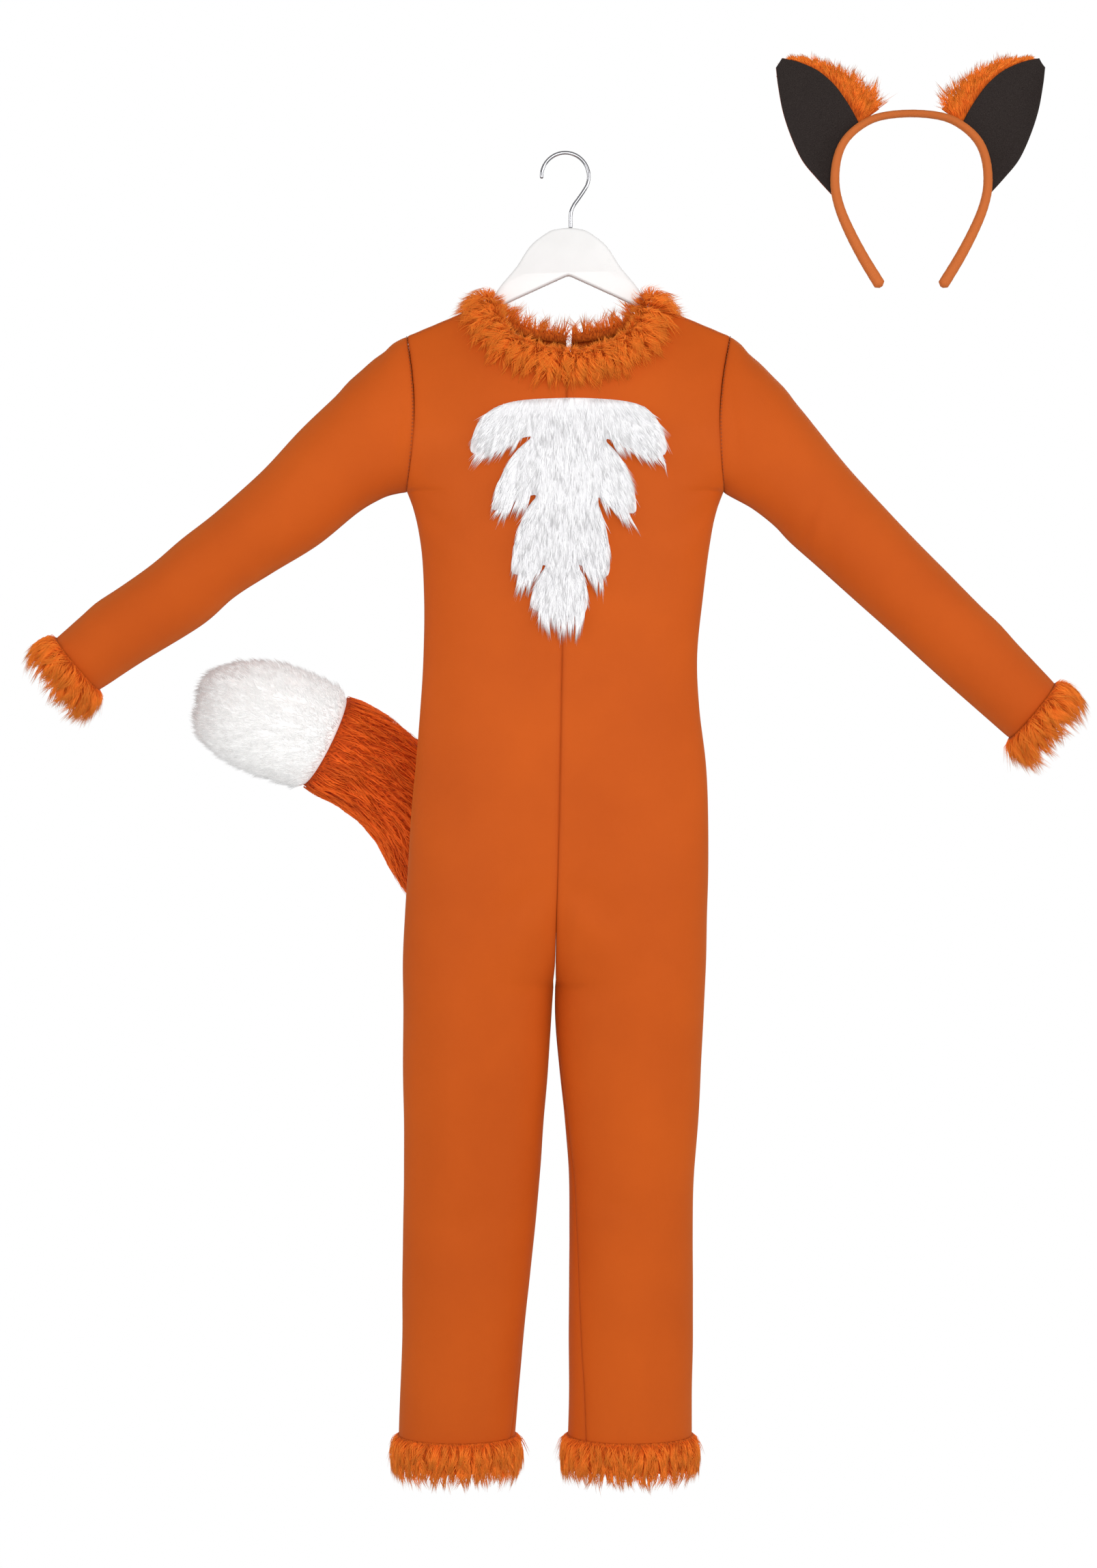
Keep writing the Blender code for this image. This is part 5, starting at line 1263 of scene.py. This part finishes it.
headband = {
    "middleX": 319.5, "width": 10.0, "topThick": 6.5, "footThick": 10.5,
    "half": columns("away drop", (
        (28, 122), (45, 94), (58, 69), (66.5, 48), (70.5, 28), (69, 6), (62, -12), (48, -26), (29, -35),
        (0, -38))),
    "ear": columns("innerAway innerDrop outerAway outerDrop", (
        (47.5, -30, 73, 35.5), (54.5, -43, 87, 20), (62.5, -55.5, 100, 4), (72.5, -68, 110, -17),
        (86.5, -79.5, 118, -41), (103.5, -87, 122.5, -65), (119, -90.5, 124.5, -82))),
    "footRound": 4.0, "bow": 6.0, "cup": 7.0, "blackThick": 1.5, "furThick": 4.0, "reach": 23.0, "lean": 0.9,
}


def buildBand():
    # a rounded strip carried along the horseshoe, broader at its rounded feet, with faint cross wrinkles
    half = headband["half"]
    away = np.concatenate([-half["away"], half["away"][-2::-1]])
    drop = np.concatenate([half["drop"], half["drop"][-2::-1]])
    knots = np.arange(len(away), dtype=float)
    at = np.linspace(0, knots[-1], 220)
    line = stand(headband["middleX"] + smooth(at, knots, away), 0.0, smooth(at, knots, drop))
    out = np.cross(unit(np.gradient(line, axis=0)), toBack)
    angle = ringAngles(24)
    fromTop = np.abs(at / knots[-1] * 2 - 1)
    halfThick = (headband["topThick"] + (headband["footThick"] - headband["topThick"]) * fromTop**1.3) / 2
    wide = power(np.cos(angle), 0.7) * headband["width"] / 2
    thick = power(np.sin(angle), 0.8) * halfThick[:, None]
    lengths = runLength(line)
    toEnd = np.minimum(lengths, lengths[-1] - lengths)
    size = (1 - np.clip(1 - toEnd / headband["footRound"], 0, 0.97) ** 2.4) ** (1 / 2.4)
    size = (size * (1 + 0.012 * np.sin(at * 21) + 0.008 * np.sin(at * 47)))[:, None, None]
    grid = line[:, None] + size * (toBack * wide[None, :, None] + out[:, None] * thick[..., None])
    uv = np.stack(np.broadcast_arrays(angle[None] * 4, lengths[:, None]), axis=-1).reshape(-1, 2)
    piece = gridPiece("covered_headband", grid, finish["satin"], "copper_knit", uv=uv)
    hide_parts("headband")


def earGrid(side, rows, across, bulge=0.0):
    # across runs in shares of the width, and below zero in shares of the reach past the inner edge
    edges = headband["ear"]
    knots = np.linspace(0, 1, len(edges["innerAway"]))
    inner = stand(smooth(rows, knots, edges["innerAway"]), 0.0, smooth(rows, knots, edges["innerDrop"]))
    outer = stand(smooth(rows, knots, edges["outerAway"]), 0.0, smooth(rows, knots, edges["outerDrop"]))
    width = np.linalg.norm(outer - inner, axis=-1)
    place = np.where(across < 0, across * headband["reach"] * (1 - rows), across * width)
    # past the inner edge the fur leans towards the middle of the band, the more the nearer it is
    toMiddle = np.where(across < 0, headband["lean"] * (1 - rows) ** 3, 0)
    sideways = unit(unit(outer - inner) + toMiddle[..., None] * [1.0, 0, 0])
    inward = np.clip(place / width, 0, 1)
    bow = headband["bow"] * np.sin(np.pi * inward) * (1 - rows) ** 3
    grid = inner + sideways * place[..., None] + np.cross(sideways, toBack) * bow[..., None]
    cup = headband["cup"] * np.sin(np.pi * inward) * np.minimum(width / 50, 1) * (1 - (1 - rows) ** 2)
    grid[..., 1] += headband["width"] / 2 + 0.4 + cup + bulge
    grid[..., 0] = headband["middleX"] + side * grid[..., 0]
    return grid, sideways * [side, 1, 1]


def buildEar(side):
    name = sideName(side)
    black = headband["blackThick"]
    rows = np.concatenate([[0, 0.006], np.linspace(0.02, 0.98, 40), [0.994, 1]])[:, None]
    across = np.concatenate([[0, 0.012], np.linspace(0.03, 0.97, 28), [0.988, 1]])[None]
    up, over = np.broadcast_arrays(rows, across)
    face, _ = earGrid(side, up, over)
    edge = np.minimum(np.minimum(over, 1 - over) * 50, np.minimum(up, 1 - up) * 90)
    rounded = 0.6 * np.exp(-edge / 0.8)[..., None] * toBack
    relief = 0.25 * uneven(face[..., 0], face[..., 2], 30, 17)[..., None] * toBack
    piece = wallPiece("black_ear_inside_" + name, face + rounded + relief, face + relief + toBack * black,
                      finish["felt"], "black_felt")
    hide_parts("ear_inside_" + name)

    wide = np.concatenate([np.linspace(-1, -0.05, 10), np.linspace(0, 1, 24)])[None]
    up, over = np.broadcast_arrays(rows, wide)
    first, _ = earGrid(side, up, over, black + 0.5)
    edge = np.minimum((over + 1) * 20, np.minimum((1 - over) * 30, np.minimum(up, 1 - up) * 60))
    depth = headband["furThick"] * (0.3 + 0.7 * np.sqrt(np.clip(edge, 0, 1)))
    base = wallPiece("skin_ear_fur_" + name, first, first + depth[..., None] * toBack, finish["orangeGround"],
                     "rust_fur")
    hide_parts("ear_fur_" + name)

    def rootAt(rowAt, wideAt, bulge):  # the point, the way outwards across the ear, and the way up it
        point, outward = earGrid(side, rowAt, wideAt, bulge)
        higher, _ = earGrid(side, np.minimum(rowAt + 0.02, 1), wideAt, bulge)
        return point, outward, unit(higher - point + 1e-9)

    def placeBack(u, v):
        rowAt, wideAt = v / 100, u / 50
        point, outward, upward = rootAt(rowAt, wideAt, black + headband["furThick"])
        turn = 0.4 * np.sin(np.pi * np.clip(0.5 - wideAt, -1, 1))
        return point, unit(toBack - outward * turn[:, None]), upward, 1 - 0.65 * rowAt

    def placeFringe(u, v):
        rowAt, wideAt = v / 100 * 0.96, -1.08 + u / 50
        point, outward, upward = rootAt(rowAt, wideAt, black + 0.8)
        comb = unit(upward * (0.2 + 0.95 * rowAt)[:, None] - outward * (1 - 0.5 * rowAt)[:, None])
        return point, unit(-toBack - outward * 0.4), comb, 1.15 - 0.95 * rowAt

    growFur("strands_ear_back_" + name, placeBack, (-46, 48), (1, 97), "earBack", finish["orangeFur"],
            "rust_fur", shift=1 + side)
    growFur("strands_ear_fringe_" + name, placeFringe, (0, 50), (1, 97), "earFringe", finish["orangeFur"],
            "rust_fur", shift=1 + side)


buildBand()
for side in (right, left):
    buildEar(side)
print("headband and ears made")

# Hanger and zip

hanger = {
    "top": ((0, 68), (10, 69), (19, 72), (35, 84.5), (48, 104), (61.5, 120), (69, 131)),
    "vee": ((61.5, 139.5), (0, 111.5)), "armStart": 75.0, "armUnder": 84.0, "armEnd": 138.0, "armThick": 13.0,
    "thick": 10.0, "round": 2.4, "clearance": 2.2,
}
hook = {
    "wire": 1.8, "radius": 21.8, "arc": (-38, 186), "shankX": 5.0,
    "shank": ((0, 67.6), (0, 62), (0, 57), (0.6, 52), (2.8, 47), (7, 41)),
}


def armTop(away):  # the arm's upper edge, which stays clear of the cloth's wall along the shoulder line
    lowered = (suit["wall"] + hanger["clearance"]) * math.hypot(1, suit["slope"])
    return suit["neckDrop"] + suit["slope"] * (away - suit["neckHalf"]) + lowered


def hangerOutline():
    # a smooth curve down to the shoulder, the arm with its rounded end, and the vee below; then mirrored
    top = np.array(hanger["top"], float)
    knots = np.arange(len(top), dtype=float)
    at = np.linspace(0, knots[-1], 40)
    mirrored = np.concatenate([top[1:2] * [-1, 1], top])
    upper = np.stack([smooth(at, np.append(-1.0, knots), mirrored[:, k]) for k in (0, 1)], axis=1)
    (veeX, veeDrop), (_, veeTop) = hanger["vee"]
    end, start, under = hanger["armEnd"], hanger["armStart"], hanger["armUnder"]
    turn = np.linspace(-np.pi / 2, np.pi / 2, 12)
    tip = np.stack([end - 6 + 6 * np.cos(turn), armTop(end - 6) + 6.5 + 6.5 * np.sin(turn)], axis=1)
    corners = [(under, armTop(under) + hanger["armThick"]), (veeX, veeDrop), (2.5, veeTop + 1.1),
               (0, veeTop + 0.5)]
    half = np.concatenate([upper, [(start, armTop(start))], tip, corners])
    return np.concatenate([half, (half[1:-1] * [-1, 1])[::-1]])


def buildHanger():
    # the outline filled and given its thickness, with rounded edges, then stood upright
    outline = hangerOutline()
    rounding = hanger["round"] * 0.001
    curve = bpy.data.curves.new("hanger outline", "CURVE")
    curve.dimensions, curve.fill_mode = "2D", "BOTH"
    curve.extrude = (hanger["thick"] / 2 - hanger["round"]) * 0.001
    curve.bevel_depth, curve.bevel_resolution, curve.offset = rounding, 4, -rounding
    line = curve.splines.new("POLY")
    line.points.add(len(outline) - 1)
    flat = np.concatenate([outline * [0.001, -0.001], np.tile([0.0, 1.0], (len(outline), 1))], axis=1)
    line.points.foreach_set("co", flat.ravel())
    line.use_cyclic_u = True
    holder = bpy.data.objects.new("hanger outline", curve)
    bpy.context.scene.collection.objects.link(holder)
    bpy.context.view_layer.update()
    mesh = bpy.data.meshes.new_from_object(holder.evaluated_get(bpy.context.evaluated_depsgraph_get()))
    bpy.data.objects.remove(holder)
    co = np.empty(len(mesh.vertices) * 3, np.float32)
    mesh.vertices.foreach_get("co", co)
    x, up, depth = co.reshape(-1, 3).T
    mesh.vertices.foreach_set("co", np.stack([x + suit["shoulderX"] * 0.001, -depth, up], axis=1).ravel())
    mesh.materials.clear()
    mesh.materials.append(finish["lacquer"])
    mesh.update()
    board = bpy.data.objects.new("lacquered_hanger", mesh)
    bpy.context.scene.collection.objects.link(board)
    weld = board.modifiers.new("weld", "WELD")
    weld.merge_threshold = 0.00001
    mesh.shade_smooth()
    mesh.set_sharp_from_angle(angle=math.radians(35))
    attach(board, "costume")
    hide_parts("hanger_body")


def buildHook():
    # a round wire carried along a straight shank, a bend and most of a circle, with a rounded tip
    radius, wire = hook["radius"], hook["wire"]
    turn = np.radians(np.linspace(*hook["arc"], 16))
    arc = np.stack([radius * np.cos(turn), radius - wire - radius * np.sin(turn)], axis=1)
    knots = np.concatenate([np.array(hook["shank"]) + [hook["shankX"], 0], arc])
    steps = runLength(knots)
    at = np.linspace(0, steps[-1], 150)
    line = stand(smooth(at, steps, knots[:, 0]), 0.0, smooth(at, steps, knots[:, 1]))
    side = np.cross(unit(np.gradient(line, axis=0)), toBack)
    size = wire * np.sqrt(1 - np.clip((at - steps[-1] + wire) / wire, 0, 0.97) ** 2)
    angle = ringAngles(16)[None, :, None]
    ring = side[:, None] * np.cos(angle) + toBack * np.sin(angle)
    piece = gridPiece("steel_hook", line[:, None] + size[:, None, None] * ring, finish["chrome"], "chrome")
    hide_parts("hanger_hook")


zipLine = {"top": 196.0, "pitch": 1.8, "teeth": 2.0, "tape": 1.3, "sunk": 0.35}


def buildZip():
    # a tape with a closed coil down its middle: ridges of one pitch, half a sine high
    drop = np.arange(zipLine["top"], suit["zipEnd"], zipLine["pitch"] / 3)[:, None]
    half = suit["zipHalf"]
    across = np.array([-half, -2.1, -1.8, -1.0, 0.0, 1.0, 1.8, 2.1, half])[None]
    coil = np.clip((zipLine["teeth"] + 0.1 - np.abs(across)) / 0.3, 0, 1)
    shift = np.where(across > 0, np.pi / 2, 0)
    ridge = coil * (0.25 + 0.4 * np.abs(np.sin(np.pi * drop / zipLine["pitch"] + shift)))
    x = middleAt(drop) + across
    y = torsoY(x, drop, back)
    outer, inner = stand(x, y + 0.1 + ridge - zipLine["sunk"], drop), stand(x, y - zipLine["tape"], drop)
    piece = wallPiece("toothed_zip_coil", outer, inner, finish["coil"], "zip_coil")
    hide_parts("zip_coil")


buildHanger()
buildHook()
buildZip()
for name in ("zip_slider", "zip_pull"):
    node = frame["nodes"][name]
    if node.material_slots:
        node.material_slots[0].link = "OBJECT"
        node.material_slots[0].material = finish["chrome"]
    else:
        node.data.materials.append(finish["chrome"])
print("hanger, hook and zip made")

# Floor, light and camera

room = {"floorDrop": 1620.0, "floorHalf": 1100.0}
photo = {"width": 1607, "height": 2296, "scale": 0.63, "originX": 828.0, "originY": 226.5, "distance": 2800.0}


def buildFloor():
    # a round slab: a small hole's ring and the rim on top, and the same two below
    radius = np.array([1.0, room["floorHalf"], room["floorHalf"], 1.0])[:, None]
    drop = room["floorDrop"] + np.array([0.0, 0, 20, 20])[:, None]
    angle = ringAngles(64)[None]
    grid = stand(radius * np.cos(angle), radius * np.sin(angle), drop)
    numbers = np.arange(grid.shape[0] * grid.shape[1]).reshape(grid.shape[:2])
    faces = quadStrip(numbers, True)[:, ::-1].tolist() + [numbers[0].tolist(), numbers[-1][::-1].tolist()]
    mesh = bpy.data.meshes.new("floor")
    mesh.from_pydata((grid.reshape(-1, 3) * 0.001).tolist(), [], faces)
    mesh.materials.append(speckMaterial("pale floor", (0.86, 0.86, 0.86), (0.82, 0.82, 0.82), 0.7, scale=3.0))
    floor = bpy.data.objects.new("floor", mesh)
    bpy.context.scene.collection.objects.link(floor)


studio = {
    # each lamp's place and what it faces, in metres, its width and height, and its power in watts
    "lamps": {
        "key": ((0.1, -1.7, -0.2), (0.03, 0, -0.4), (1.1, 0.9), 11),
        "left soft": ((-2.2, -1.2, 0.0), (0, 0, -0.35), (1.4, 1.6), 17),
        "right soft": ((2.2, -1.2, 0.0), (0, 0, -0.35), (1.4, 1.6), 18),
        "fill": ((0.9, -2.4, 0.3), (0, 0, -0.5), (1.2, 1.4), 7),
        "back soft": ((0.3, 2.4, 0.6), (0, 0, -0.5), (1.8, 1.8), 30),
        "low soft": ((0, -1.5, -1.5), (0, 0, -0.2), (1.4, 0.8), 1.2),
    },
    "ambient": 0.37,
}


def areaLight(name, place, target, size, power):
    lamp = bpy.data.lights.new(name, "AREA")
    lamp.shape, lamp.size, lamp.size_y = "RECTANGLE", size[0], size[1]
    lamp.energy = power
    holder = bpy.data.objects.new(name, lamp)
    holder.location = place
    holder.rotation_euler = (Vector(target) - Vector(place)).to_track_quat("-Z", "Y").to_euler()
    bpy.context.scene.collection.objects.link(holder)


def buildStudio():
    world = bpy.data.worlds.new("studio")
    bpy.context.scene.world = world
    world.use_nodes = True
    tree = world.node_tree
    shade = tree.nodes["Background"]
    shade.inputs["Color"].default_value = (1, 1, 1, 1)
    shade.inputs["Strength"].default_value = studio["ambient"]
    seen = addNode(tree, "Background", {"Color": (1, 1, 1, 1), "Strength": 1.0})
    ray = addNode(tree, "LightPath").outputs["Is Camera Ray"]
    mix = addNode(tree, "MixShader", {0: ray, 1: shade.outputs[0], 2: seen.outputs[0]})
    putIn(tree, tree.nodes["World Output"].inputs["Surface"], mix.outputs[0])
    for name, lamp in studio["lamps"].items():
        areaLight(name, *lamp)
    bpy.context.scene.view_settings.view_transform = "Standard"


def buildCamera():
    lens = bpy.data.cameras.new("camera")
    scale = photo["scale"] * 0.001
    lens.sensor_fit, lens.sensor_height = "VERTICAL", 36
    lens.lens = 36 * photo["distance"] * 0.001 / (photo["height"] * scale)
    holder = bpy.data.objects.new("camera", lens)
    x = (photo["width"] / 2 - photo["originX"]) * scale
    z = (photo["originY"] - photo["height"] / 2) * scale
    holder.location = (x, -photo["distance"] * 0.001, z)
    holder.rotation_euler = (math.pi / 2, 0, 0)
    bpy.context.scene.collection.objects.link(holder)
    bpy.context.scene.camera = holder


buildFloor()
buildStudio()
buildCamera()
print("floor, lights and camera made")
added = sum(len(face.vertices) - 2 for item in bpy.data.objects
            if item.type == "MESH" and "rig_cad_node" not in item for face in item.data.polygons)
print("triangles added:", added)
